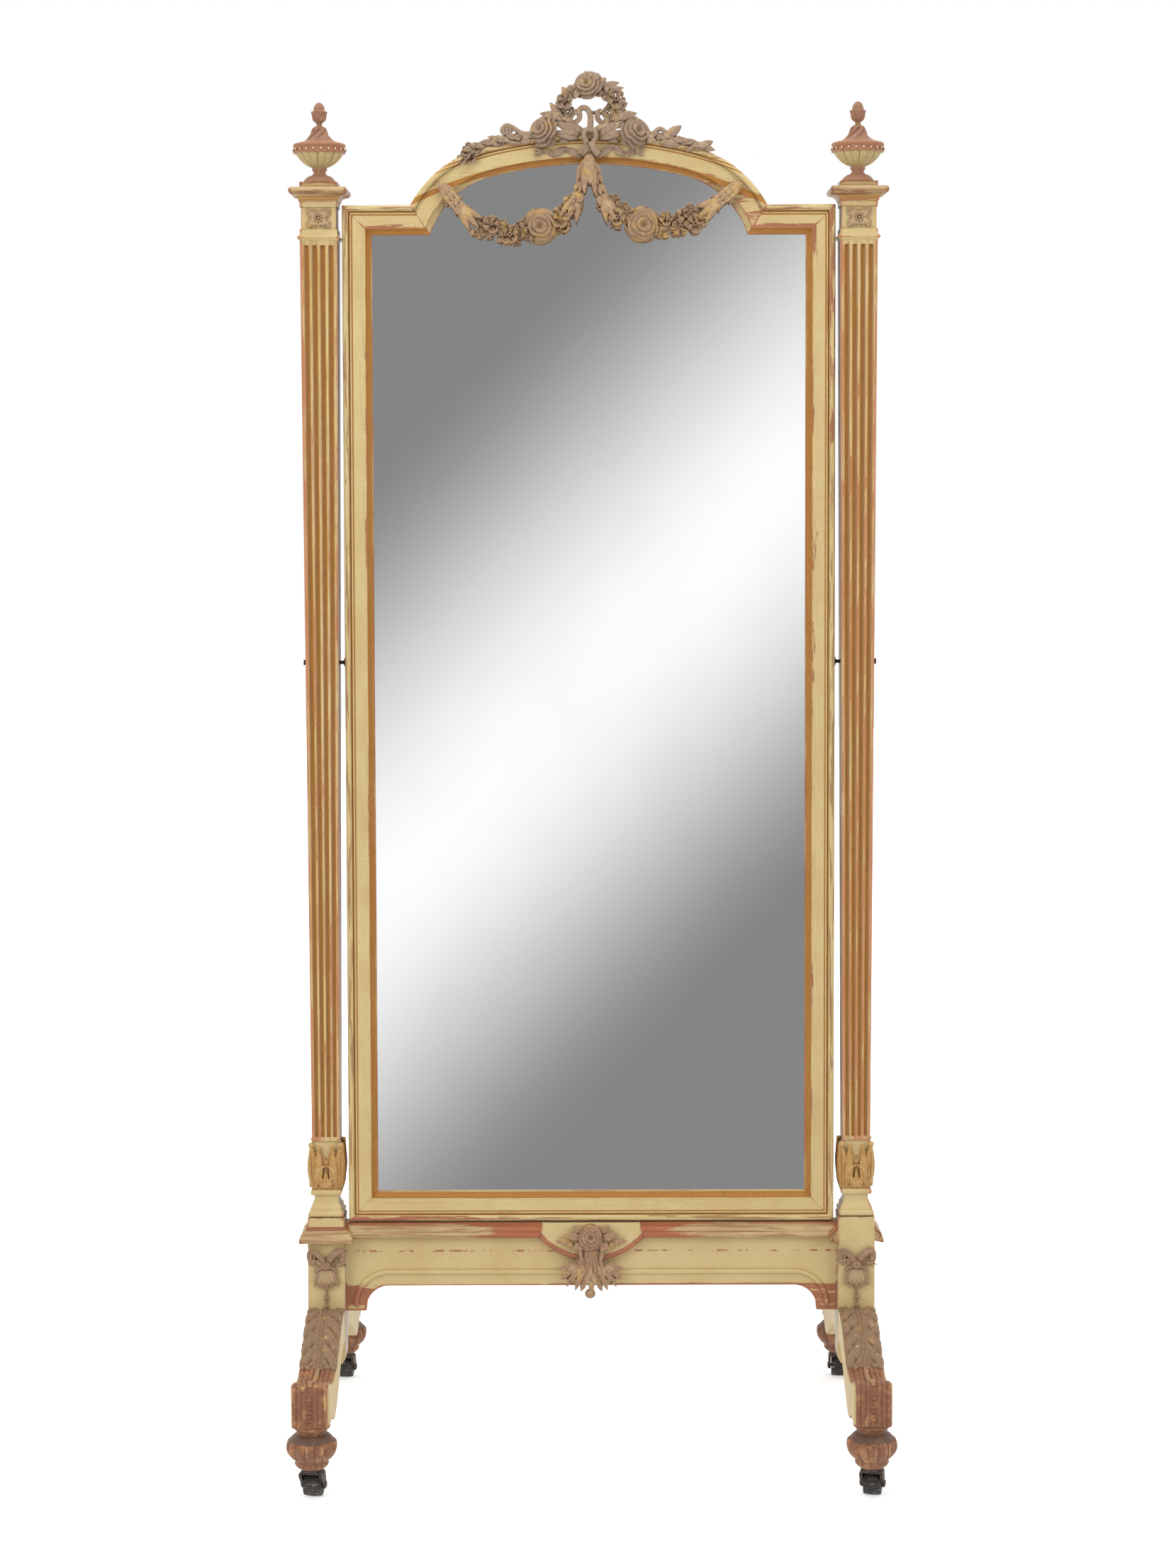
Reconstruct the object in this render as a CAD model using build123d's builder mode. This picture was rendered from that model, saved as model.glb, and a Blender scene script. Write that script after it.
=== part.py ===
from build123d import *
import os
from math import acos, asin, cos, degrees, radians, sin, sqrt

# Millimetres. X runs across the mirror, Z up from the floor, and the glass faces -Y.

# Layout of the stand
post_x = 418.5  # middle of the stand to the axis of each post
foot_y = 315.0  # middle of a trestle to the axis of each foot
pivot_z = 1233.0  # tilting axis above the floor

# Casters
wheel_d = 36.0
wheel_w = 26.0
wheel_crown = 1.2  # how much the tread rises at mid-width
axle_d = 6.0
axle_head_d = 9.0
axle_head_t = 1.4
caster_trail = 12.0  # pintle axis back to the axle
fork_side_gap = 0.8
fork_arm_t = 4.2
fork_arm_end_r = 6.5
fork_shoulder_r = 5.0
bridge_t = 3.6
bridge_half_l = 11.0
wheel_top_gap = 2.4
pintle_d = 7.0
pintle_stem_h = 22.0  # driven up into the foot
rivet_d = 10.0
rivet_t = 1.2
running_fit = 0.05  # radial clearance of every turning pin
swivel_gap = 0.4
plate_d = 28.0
plate_t = 4.0
caster_yaw = {"left_front": 81.0, "right_front": 79.0, "left_rear": 85.0, "right_rear": 86.0}

# Bun feet, turned
foot_neck_r = 22.0
foot_ring_r = 28.0
bun_r = 38.3
bun_base_r = 20.5
foot_h = 68.0
lobe_count = 14
lobe_groove_w = 1.6
lobe_groove_d = 2.2

# Legs, sawn from plank
post_w = 58.0  # square of the post's plain block
leg_w = 57.0
toe_h = 61.0
toe_l = 59.0
toe_chamfer = 9.0
toe_round_r = 12.0
leg_root_h = 92.5  # top of the leg above the foot where it meets the post
leg_root_depth = 48.0
leg_waist_rise = 42.0  # top of the leg above the foot at its lowest, behind the toe
leg_belly_drop = 14.0  # underside below the foot at its lowest

# Post, from the block up
pendant_drop = 38.0  # end of the post below the underside of the legs
pendant_chamfer = 5.0
block_h = 135.0  # top of the legs to the plinth
plinth_h = 14.0
torus_w = 56.0
torus_h = 10.5
step_w = 49.2
step_h = 5.0
die_w = 39.0
die_h = 20.0
ring_w = 49.0
ring_h = 8.5
collar_h = 77.0
collar_base_w = 45.0
collar_tip_w = 56.0
collar_core_w = 40.0
shaft_base_w = 44.0
shaft_top_w = 58.0
shaft_h = 1412.0
astragal_w = 67.0
astragal_h = 9.5
band_h = 8.0
frieze_w = 54.0
frieze_h = 34.0
fillet_h = 8.5

# Flutes
flute_count = 4
flute_top_r = 3.1
flute_base_r = 2.4
flute_pitch = 12.6  # at the top of the shaft
flute_end = 7.0  # solid wood left at each end of the shaft

# Capital and urn
cornice_w = 90.0
cornice_base_w = 60.0
cornice_h = 22.0
capital_plinth_h = 8.5
urn_foot_r = 25.0
urn_foot_h = 10.5
urn_neck_r = 9.3
urn_ring_r = 11.8
urn_ring_h = 6.0
bowl_r = 36.0
bowl_h = 21.5
rim_r = 41.0
rim_waist_r = 39.0
rim_h = 15.0
lid_top_r = 10.0
lid_shoulder_r = 21.0
lid_h = 27.0
bud_neck_r = 4.2
bud_neck_h = 4.5
bud_r = 12.9
bud_h = 32.5
bud_tip_r = 1.5

# Waist moulding and applied ornaments of the posts
waist_top_w = 60.0
waist_w = 84.0
waist_h = 24.0
bow_t = 7.0
rosette_t = 4.0

# Rail between the trestles
rail_t = 24.0
rail_top_gap = 3.5  # daylight under the mirror
rail_h = 102.0
bracket_drop = 40.0
bracket_w = 32.5
bracket_r = 37.0
rail_mould_h = 23.0
rail_mould_proj = 15.0
bead_r = 4.0
bead_inset = 22.0  # rail's lower edge up to the bead
lunette_half_w = 84.0
lunette_depth = 37.0
lunette_t = 9.0

# Mirror frame
frame_half_w = 383.0
frame_bottom_z = 349.0
member_w = 45.5
shoulder_z = 1944.0
sight_crown_z = 2008.0
haunch_x = 118.0  # centre of the small arc at each haunch
haunch_drop = 86.5  # that centre below the shoulder
haunch_r = 135.5  # at the sight edge
band_w = 9.5
frame_front_y = -22.0
flat_y = -17.0
bead_w = 3.0
cove_w = 9.0
sight_fillet_w = 1.8
sight_y = -9.0
rabbet_w = 10.0
glass_front_y = -5.0
frame_back_y = 14.0
glass_t = 4.0
rabbet_gap = 2.0
board_t = 7.0
batten_w = 45.0
batten_t = 12.0
batten_inset = 260.0

# Pivots
bolt_d = 5.6
bolt_head_d = 9.8
bolt_head_t = 4.5
bolt_hold = 28.0  # length held in the stile
pivot_plate_d = 17.5
pivot_plate_t = 3.2
bolt_gap = 0.3
thread_gap = 0.1

# Crest and swags
crest_back_y = -5.0
crest_t = 18.0
relief_t = 7.0
swag_w = 17.0
blossom_t = 11.0
swag_parting = 0.5  # each swag stops this far from the middle

# Worked-out heights
axle_z = wheel_d / 2
fork_top_z = wheel_d + wheel_top_gap + bridge_t
foot_z = fork_top_z + swivel_gap + plate_t
toe_z = foot_z + foot_h
leg_root_z = toe_z + leg_root_h
plinth_z = leg_root_z + block_h
torus_z = plinth_z + plinth_h
step_z = torus_z + torus_h
die_z = step_z + step_h
ring_z = die_z + die_h
collar_z = ring_z + ring_h
shaft_z = collar_z + collar_h
astragal_z = shaft_z + shaft_h
band_z = astragal_z + astragal_h
frieze_z = band_z + band_h
fillet_z = frieze_z + frieze_h
cornice_z = fillet_z + fillet_h
capital_plinth_z = cornice_z + cornice_h
urn_z = capital_plinth_z + capital_plinth_h
rail_top_z = frame_bottom_z - rail_top_gap
rail_z = rail_top_z - rail_h
post_half = post_w / 2
rail_half_l = post_x - post_half
rail_front_y = -rail_t / 2

os.makedirs("parts", exist_ok=True)


def save(part, name):
    part.label = name
    export_step(part, f"parts/{name}.step")


def front_plane(x, y, z=0.0):
    """A plane facing -Y: sketch X runs along X and sketch Y runs up."""
    return Plane(origin=(x, y, z), x_dir=(1, 0, 0), z_dir=(0, -1, 0))


def side_plane(x):
    """A plane across the mirror: sketch X runs along Y and sketch Y runs up."""
    return Plane(origin=(x, 0, 0), x_dir=(0, 1, 0), z_dir=(1, 0, 0))


# Casters


def make_caster(corner, x, y):
    """Top plate with pintle, swivelling fork with its axle, and wheel."""
    yaw = radians(caster_yaw[corner])
    roll_dir = (cos(yaw), sin(yaw), 0)
    axle_dir = (sin(yaw), -cos(yaw), 0)
    rolling = Plane(origin=(x, y, 0), x_dir=roll_dir, z_dir=axle_dir)
    wheel_half = wheel_w / 2
    inner_half = wheel_half + fork_side_gap
    outer_half = inner_half + fork_arm_t
    bridge_z = fork_top_z - bridge_t

    with BuildPart() as plate:
        with BuildSketch(rolling) as plate_section:
            with BuildLine():
                Polyline(
                    (0, bridge_z - swivel_gap - rivet_t),
                    (rivet_d / 2, bridge_z - swivel_gap - rivet_t),
                    (rivet_d / 2, bridge_z - swivel_gap),
                    (pintle_d / 2, bridge_z - swivel_gap),
                    (pintle_d / 2, fork_top_z + swivel_gap),
                    (plate_d / 2, fork_top_z + swivel_gap),
                    (plate_d / 2, foot_z),
                    (pintle_d / 2, foot_z),
                    (pintle_d / 2, foot_z + pintle_stem_h),
                    (0, foot_z + pintle_stem_h),
                    close=True,
                )
            make_face()
        revolve(axis=Axis((x, y, 0), (0, 0, 1)))
    save(plate.part, f"{corner}_caster_plate")

    with BuildPart() as fork:
        with BuildSketch(rolling):
            with Locations((caster_trail, axle_z)):
                Circle(fork_arm_end_r)
            Polygon(
                (caster_trail - fork_arm_end_r, axle_z),
                (caster_trail + fork_arm_end_r, axle_z),
                (bridge_half_l, fork_top_z),
                (-bridge_half_l, fork_top_z),
                (-bridge_half_l, bridge_z - bridge_t),
                align=None,
            )
        extrude(amount=outer_half, both=True)
        shoulders = fork.edges().filter_by(Axis(Vector(), Vector(roll_dir))).group_by(Axis.Z)[-1]
        fillet(shoulders, radius=fork_shoulder_r)
        with BuildSketch(rolling):
            with Locations((0, bridge_z / 2)):
                Rectangle(4 * wheel_d, bridge_z)
        extrude(amount=inner_half, both=True, mode=Mode.SUBTRACT)
        with BuildSketch(rolling):
            with Locations((caster_trail, axle_z)):
                Circle(axle_d / 2)
        extrude(amount=outer_half, both=True, mode=Mode.SUBTRACT)
        with BuildSketch(Plane(origin=(x, y, bridge_z))):
            Circle(pintle_d / 2 + running_fit)
        extrude(amount=bridge_t, mode=Mode.SUBTRACT)
    save(fork.part, f"{corner}_fork")

    axle_line = Axis(rolling.from_local_coords((caster_trail, axle_z, 0)), Vector(axle_dir))
    across = Plane(origin=axle_line.position, x_dir=(0, 0, 1), z_dir=roll_dir)
    with BuildPart() as axle:
        with BuildSketch(across):
            with BuildLine():
                Polyline(
                    (0, -outer_half - axle_head_t),
                    (axle_head_d / 2, -outer_half - axle_head_t),
                    (axle_head_d / 2, -outer_half),
                    (axle_d / 2, -outer_half),
                    (axle_d / 2, outer_half),
                    (axle_head_d / 2, outer_half),
                    (axle_head_d / 2, outer_half + axle_head_t),
                    (0, outer_half + axle_head_t),
                    close=True,
                )
            make_face()
        revolve(axis=axle_line)
    save(axle.part, f"{corner}_axle")

    tread_r = wheel_d / 2
    bore_r = axle_d / 2 + running_fit
    with BuildPart() as wheel:
        with BuildSketch(across):
            with BuildLine():
                Line((bore_r, -wheel_half), (tread_r - wheel_crown, -wheel_half))
                ThreePointArc(
                    (tread_r - wheel_crown, -wheel_half),
                    (tread_r, 0),
                    (tread_r - wheel_crown, wheel_half),
                )
                Line((tread_r - wheel_crown, wheel_half), (bore_r, wheel_half))
                Line((bore_r, wheel_half), (bore_r, -wheel_half))
            make_face()
        revolve(axis=axle_line)
    save(wheel.part, f"{corner}_wheel")


# Feet and legs


def draw_foot_outline():
    """Right half of the turned foot, from its base up to the toe block."""
    bun_mid_z = foot_z + 0.48 * foot_h
    bun_low_z = foot_z + 0.09 * foot_h
    bun_high_z = foot_z + 0.74 * foot_h
    neck_z = foot_z + 0.83 * foot_h
    ring_low_z = foot_z + 0.87 * foot_h
    Line((0, foot_z), (bun_base_r - 2, foot_z))
    ThreePointArc(
        (bun_base_r - 2, foot_z),
        (bun_base_r, (foot_z + bun_low_z) / 2),
        (bun_base_r - 1, bun_low_z),
    )
    Spline(
        (bun_base_r - 1, bun_low_z),
        (bun_r, bun_mid_z),
        (bun_r - 8, bun_high_z),
        tangents=[(1, 0.3), (-1, 0.5)],
    )
    Polyline((bun_r - 8, bun_high_z), (foot_neck_r, neck_z), (foot_neck_r, ring_low_z))
    ThreePointArc(
        (foot_neck_r, ring_low_z),
        (foot_ring_r, toe_z - 0.06 * foot_h),
        (foot_ring_r - 1.5, toe_z),
    )
    Polyline((foot_ring_r - 1.5, toe_z), (0, toe_z), (0, foot_z))


def make_foot(corner, x, y):
    with BuildPart() as foot:
        with BuildSketch(front_plane(x, y)):
            with BuildLine():
                draw_foot_outline()
            make_face()
        revolve(axis=Axis((x, y, 0), (0, 0, 1)))
        with Locations((x, y, foot_z)):
            Cylinder(
                radius=pintle_d / 2,
                height=pintle_stem_h,
                align=(Align.CENTER, Align.CENTER, Align.MIN),
                mode=Mode.SUBTRACT,
            )
    save(foot.part, f"{corner}_bun_foot")


def make_leg(corner, x, direction):
    """One leg with its toe block. Direction is -1 towards the viewer and 1 behind."""
    toe_front = foot_y + toe_l / 2
    toe_back = foot_y - toe_l / 2
    reach = toe_back - post_half
    toe_top_z = toe_z + toe_h
    under_z = leg_root_z - leg_root_depth
    waist_z = toe_z + leg_waist_rise
    belly_z = toe_z - leg_belly_drop

    def at(out, height):
        return (direction * out, height)

    with BuildPart() as leg:
        with BuildSketch(side_plane(x)):
            with BuildLine():
                Spline(
                    at(post_half, leg_root_z),
                    at(post_half + 0.3 * reach, leg_root_z - 8),
                    at(post_half + 0.76 * reach, waist_z),
                    at(toe_back + 5, toe_top_z - 10),
                    at(toe_front - toe_round_r - 10, toe_top_z),
                )
                Line(at(toe_front - toe_round_r - 10, toe_top_z), at(toe_front - toe_round_r, toe_top_z))
                ThreePointArc(
                    at(toe_front - toe_round_r, toe_top_z),
                    at(toe_front - 0.29 * toe_round_r, toe_top_z - 0.29 * toe_round_r),
                    at(toe_front, toe_top_z - toe_round_r),
                )
                Polyline(
                    at(toe_front, toe_top_z - toe_round_r),
                    at(toe_front, toe_z),
                    at(toe_back, toe_z),
                )
                Spline(
                    at(toe_back, toe_z),
                    at(toe_back - 0.25 * reach, belly_z),
                    at(toe_back - 0.62 * reach, under_z - 19),
                    at(post_half, under_z),
                )
                Line(at(post_half, under_z), at(post_half, leg_root_z))
            make_face()
        extrude(amount=leg_w / 2, both=True)
        with BuildSketch(Plane.XY.offset(toe_z - 1)):
            for side in (-1, 1):
                corner_x = x + side * leg_w / 2
                Polygon(
                    (corner_x + side, direction * (toe_front + 1)),
                    (corner_x - side * (toe_chamfer + 1), direction * (toe_front + 1)),
                    (corner_x + side, direction * (toe_front - toe_chamfer - 1)),
                    align=None,
                )
        extrude(amount=toe_h + 2, mode=Mode.SUBTRACT)
    save(leg.part, f"{corner}_leg")


# Posts


def square_turning(x, draw_half):
    """A square upright with the same mitred mouldings on its four sides."""
    reach = cornice_w
    with BuildPart() as upright:
        with BuildSketch(front_plane(x, 0)):
            with BuildLine():
                draw_half()
            make_face()
            mirror(about=Plane.YZ)
        extrude(amount=reach, both=True)
        with BuildSketch(side_plane(x)):
            with BuildLine():
                draw_half()
            make_face()
            mirror(about=Plane.YZ)
        extrude(amount=reach, both=True, mode=Mode.INTERSECT)
    return upright.part


def draw_post_half():
    """Half of the post's outline, from the pendant to the seat of the capital."""
    pendant_z = leg_root_z - leg_root_depth - pendant_drop
    Polyline(
        (0, pendant_z),
        (post_half - pendant_chamfer, pendant_z),
        (post_half, pendant_z + 2 * pendant_chamfer),
        (post_half, torus_z),
        (step_w / 2, torus_z),
    )
    ThreePointArc(
        (step_w / 2, torus_z),
        (torus_w / 2, torus_z + torus_h / 2),
        (step_w / 2, step_z),
    )
    Line((step_w / 2, step_z), (step_w / 2, die_z))
    ThreePointArc(
        (step_w / 2, die_z),
        (die_w / 2 + 1.5, die_z + 0.25 * die_h),
        (die_w / 2, ring_z),
    )
    Line((die_w / 2, ring_z), (ring_w / 2 - 1.5, ring_z))
    ThreePointArc(
        (ring_w / 2 - 1.5, ring_z),
        (ring_w / 2, ring_z + ring_h / 2),
        (ring_w / 2 - 1.5, collar_z),
    )
    Polyline(
        (ring_w / 2 - 1.5, collar_z),
        (collar_core_w / 2, collar_z),
        (collar_core_w / 2, shaft_z),
        (shaft_base_w / 2, shaft_z),
        (shaft_top_w / 2, astragal_z),
        (astragal_w / 2, astragal_z + astragal_h / 2),
        (shaft_top_w / 2, band_z),
        (shaft_top_w / 2, frieze_z),
        (frieze_w / 2, frieze_z),
        (frieze_w / 2, fillet_z),
        (shaft_top_w / 2, fillet_z),
        (shaft_top_w / 2, cornice_z),
        (0, cornice_z),
        (0, pendant_z),
    )


def shaft_half_at(z):
    share = (z - shaft_z) / shaft_h
    return (shaft_base_w + (shaft_top_w - shaft_base_w) * share) / 2


def make_flute(x, face_dir, across_dir, offset):
    """What is cut away for one round-ended flute, which narrows with the shaft."""
    ends = []
    for z in (shaft_z + flute_end + flute_base_r, astragal_z - flute_end - flute_top_r):
        half = shaft_half_at(z)
        along = offset * half / shaft_half_at(astragal_z)
        ends.append(Vector(x, 0, z) + Vector(face_dir) * half + Vector(across_dir) * along)
    low, high = ends
    run = high - low
    normal = Vector(across_dir).cross(run)
    with BuildPart() as flute:
        with BuildSketch(Plane(origin=low, x_dir=run.cross(normal), z_dir=normal)):
            with BuildLine():
                Line((0, -flute_base_r), (0, run.length + flute_top_r))
                CenterArc((0, run.length), flute_top_r, 0, 90)
                Line((flute_top_r, run.length), (flute_base_r, 0))
                CenterArc((0, 0), flute_base_r, 270, 90)
            make_face()
        revolve(axis=Axis(low, run))
    return flute.part


def make_post(side, x):
    """Fluted on the front, the back and the outer face, plain towards the mirror."""
    faces = [((0, -1, 0), (1, 0, 0)), ((0, 1, 0), (1, 0, 0)), ((side, 0, 0), (0, 1, 0))]
    with BuildPart() as post:
        add(square_turning(x, draw_post_half))
        for face_dir, across_dir in faces:
            for index in range(flute_count):
                offset = (index - (flute_count - 1) / 2) * flute_pitch
                add(make_flute(x, face_dir, across_dir, offset), mode=Mode.SUBTRACT)
        with BuildSketch(side_plane(x)):
            with Locations((0, pivot_z)):
                Circle(bolt_d / 2 + running_fit)
        extrude(amount=post_w, both=True, mode=Mode.SUBTRACT)
    return post.part


def draw_cornice_half():
    top_z = capital_plinth_z + capital_plinth_h
    Polyline(
        (0, cornice_z),
        (cornice_base_w / 2, cornice_z),
        (cornice_base_w / 2 + 1.5, cornice_z + 0.2 * cornice_h),
    )
    ThreePointArc(
        (cornice_base_w / 2 + 1.5, cornice_z + 0.2 * cornice_h),
        (cornice_base_w / 2 + 4.0, cornice_z + 0.36 * cornice_h),
        (cornice_w / 2 - 5.0, cornice_z + 0.48 * cornice_h),
    )
    ThreePointArc(
        (cornice_w / 2 - 5.0, cornice_z + 0.48 * cornice_h),
        (cornice_w / 2, cornice_z + 0.7 * cornice_h),
        (cornice_w / 2 - 4.0, capital_plinth_z),
    )
    Polyline(
        (cornice_w / 2 - 4.0, capital_plinth_z),
        (post_half, capital_plinth_z),
        (post_half, top_z),
        (0, top_z),
        (0, cornice_z),
    )


def draw_collar_half():
    Polyline(
        (collar_core_w / 2, collar_z),
        (collar_base_w / 2, collar_z),
    )
    ThreePointArc(
        (collar_base_w / 2, collar_z),
        (collar_base_w / 2 + 1.6, collar_z + 0.55 * collar_h),
        (collar_tip_w / 2, shaft_z - 4),
    )
    Polyline(
        (collar_tip_w / 2, shaft_z - 4),
        (collar_tip_w / 2 - 2.5, shaft_z),
        (collar_core_w / 2, shaft_z),
        (0, shaft_z),
        (0, collar_z),
        (collar_core_w / 2, collar_z),
    )


def make_collar(x):
    """Carved leaves round the foot of the shaft: a tip at each corner and one on each face."""
    valley_x = collar_tip_w / 4 - 1.5
    with BuildPart() as collar:
        add(square_turning(x, draw_collar_half))
        for plane in (front_plane(x, 0), side_plane(x)):
            with BuildSketch(plane):
                for side in (-1, 1):
                    Polygon(
                        (side * valley_x, shaft_z - 26),
                        (side * (valley_x - 6), shaft_z + 1),
                        (side * (valley_x + 7), shaft_z + 1),
                        align=None,
                    )
            extrude(amount=collar_tip_w, both=True, mode=Mode.SUBTRACT)
        with BuildSketch(Plane(origin=(x, 0, collar_z))):
            Rectangle(collar_core_w, collar_core_w)
        extrude(amount=collar_h, mode=Mode.SUBTRACT)
    return collar.part


def draw_waist_half():
    Polyline(
        (0, plinth_z - waist_h),
        (waist_w / 2, plinth_z - waist_h),
        (waist_w / 2, plinth_z - 0.78 * waist_h),
    )
    ThreePointArc(
        (waist_w / 2, plinth_z - 0.78 * waist_h),
        (waist_w / 2 - 4.0, plinth_z - 0.42 * waist_h),
        (waist_top_w / 2 + 1.5, plinth_z - 0.2 * waist_h),
    )
    Polyline(
        (waist_top_w / 2 + 1.5, plinth_z - 0.2 * waist_h),
        (waist_top_w / 2, plinth_z),
        (0, plinth_z),
        (0, plinth_z - waist_h),
    )


def make_waist(x, has_front_strip):
    """Mitred strips round the block. The rail passes through the inner one."""
    with BuildPart() as waist:
        add(square_turning(x, draw_waist_half))
        with BuildSketch(Plane(origin=(x, 0, plinth_z - waist_h))):
            Rectangle(post_w, post_w)
        extrude(amount=waist_h, mode=Mode.SUBTRACT)
        with BuildSketch(Plane(origin=(0, 0, plinth_z - waist_h))):
            Rectangle(2 * rail_half_l, rail_t)
        extrude(amount=waist_h, mode=Mode.SUBTRACT)
        if not has_front_strip:
            with BuildSketch(Plane(origin=(x, 0, plinth_z - waist_h))):
                Polygon((0, 0), (-waist_w, -waist_w), (waist_w, -waist_w), align=None)
            extrude(amount=waist_h, mode=Mode.SUBTRACT)
    return waist.part


# Ornaments of the posts


def make_bow(x):
    """Ribbon bow with a bell husk and beads, applied to the front of the block."""
    knot_z = leg_root_z + 0.55 * block_h
    husk_top = knot_z - 6
    husk_low = knot_z - 44
    with BuildPart() as bow:
        with BuildSketch(front_plane(x, -post_half, 0)):
            for side in (-1, 1):
                with Locations(Location((side * 12.5, knot_z + 13, 0), (0, 0, side * 42))):
                    Ellipse(14, 9)
                    Ellipse(6.5, 3.2, mode=Mode.SUBTRACT)
            with Locations((0, knot_z)):
                Circle(8)
            Polygon(
                (-5, husk_top),
                (-17, husk_low + 6),
                (-8, husk_low),
                (0, husk_low + 5),
                (8, husk_low),
                (20, husk_low + 8),
                (5, husk_top),
                align=None,
            )
            Polygon((-2.5, husk_low + 8), (2.5, husk_low + 8), (2.0, leg_root_z + 2), (-2.0, leg_root_z + 2), align=None)
            with Locations((0, husk_low - 8), (0, husk_low - 20)):
                Circle(4.2)
        extrude(amount=bow_t)
        with Locations(Location((x, -post_half - bow_t, knot_z))):
            Sphere(6)
        split(bisect_by=Plane(origin=(x, -post_half, 0), z_dir=(0, -1, 0)), keep=Keep.TOP)
    return bow.part


def make_rosette(x):
    """Four leaves round a pierced button on the frieze block."""
    mid_z = frieze_z + frieze_h / 2
    with BuildPart() as rosette:
        with BuildSketch(front_plane(x, -frieze_w / 2)):
            with Locations((0, mid_z)):
                with PolarLocations(13.5, 4, start_angle=45):
                    Ellipse(8.5, 5.0)
                Rectangle(19, 19, rotation=45)
        extrude(amount=rosette_t)
        with BuildSketch(front_plane(x, -frieze_w / 2 - rosette_t)):
            with Locations((0, mid_z)):
                Circle(6.2)
                Circle(2.0, mode=Mode.SUBTRACT)
        extrude(amount=2.5)
    return rosette.part


# Urns


def make_urn(x):
    """Stem, bowl and rim, turned in one piece."""
    neck_z = urn_z + urn_foot_h
    ring_low = neck_z + 7.5
    bowl_z = ring_low + urn_ring_h
    rim_z = bowl_z + bowl_h
    with BuildPart() as urn:
        with BuildSketch(front_plane(x, 0)):
            with BuildLine():
                Line((0, urn_z), (urn_foot_r, urn_z))
                ThreePointArc(
                    (urn_foot_r, urn_z),
                    (urn_foot_r - 2.5, urn_z + 0.55 * urn_foot_h),
                    (urn_foot_r - 8, neck_z),
                )
                ThreePointArc(
                    (urn_foot_r - 8, neck_z),
                    (urn_neck_r + 1.5, neck_z + 2.5),
                    (urn_neck_r, ring_low),
                )
                Line((urn_neck_r, ring_low), (urn_ring_r - 1, ring_low))
                ThreePointArc(
                    (urn_ring_r - 1, ring_low),
                    (urn_ring_r, ring_low + urn_ring_h / 2),
                    (urn_ring_r - 1, bowl_z),
                )
                ThreePointArc(
                    (urn_ring_r - 1, bowl_z),
                    (0.75 * bowl_r, bowl_z + 0.38 * bowl_h),
                    (bowl_r, rim_z),
                )
                Polyline((bowl_r, rim_z), (rim_r, rim_z), (rim_r, rim_z + 2))
                ThreePointArc(
                    (rim_r, rim_z + 2),
                    (rim_waist_r, rim_z + 0.45 * rim_h),
                    (rim_r, rim_z + 0.8 * rim_h),
                )
                Polyline(
                    (rim_r, rim_z + 0.8 * rim_h),
                    (rim_waist_r, rim_z + rim_h),
                    (0, rim_z + rim_h),
                    (0, urn_z),
                )
            make_face()
        revolve(axis=Axis((x, 0, 0), (0, 0, 1)))
    return urn.part, rim_z + rim_h


def make_urn_lid(x, seat_z):
    """Flared cone with a flower bud on top."""
    cone_z = seat_z + lid_h
    bud_z = cone_z + bud_neck_h
    with BuildPart() as lid:
        with BuildSketch(front_plane(x, 0)):
            with BuildLine():
                Line((0, seat_z), (rim_waist_r - 1.5, seat_z))
                ThreePointArc(
                    (rim_waist_r - 1.5, seat_z),
                    ((rim_waist_r + lid_shoulder_r) / 2 - 1.5, seat_z + 0.05 * lid_h),
                    (lid_shoulder_r, seat_z + 0.14 * lid_h),
                )
                ThreePointArc(
                    (lid_shoulder_r, seat_z + 0.14 * lid_h),
                    ((lid_shoulder_r + lid_top_r) / 2 - 1.5, seat_z + 0.5 * lid_h),
                    (lid_top_r, cone_z - 2),
                )
                Polyline((lid_top_r, cone_z - 2), (bud_neck_r, cone_z), (bud_neck_r, bud_z))
                ThreePointArc(
                    (bud_neck_r, bud_z),
                    (0.82 * bud_r, bud_z + 0.22 * bud_h),
                    (bud_r, bud_z + 0.56 * bud_h),
                )
                Line((bud_r, bud_z + 0.56 * bud_h), (0.72 * bud_r, bud_z + 0.62 * bud_h))
                ThreePointArc(
                    (0.72 * bud_r, bud_z + 0.62 * bud_h),
                    (0.48 * bud_r, bud_z + 0.88 * bud_h),
                    (bud_tip_r, bud_z + bud_h),
                )
                Polyline((bud_tip_r, bud_z + bud_h), (0, bud_z + bud_h), (0, seat_z))
            make_face()
        revolve(axis=Axis((x, 0, 0), (0, 0, 1)))
    return lid.part


# Rail


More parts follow.
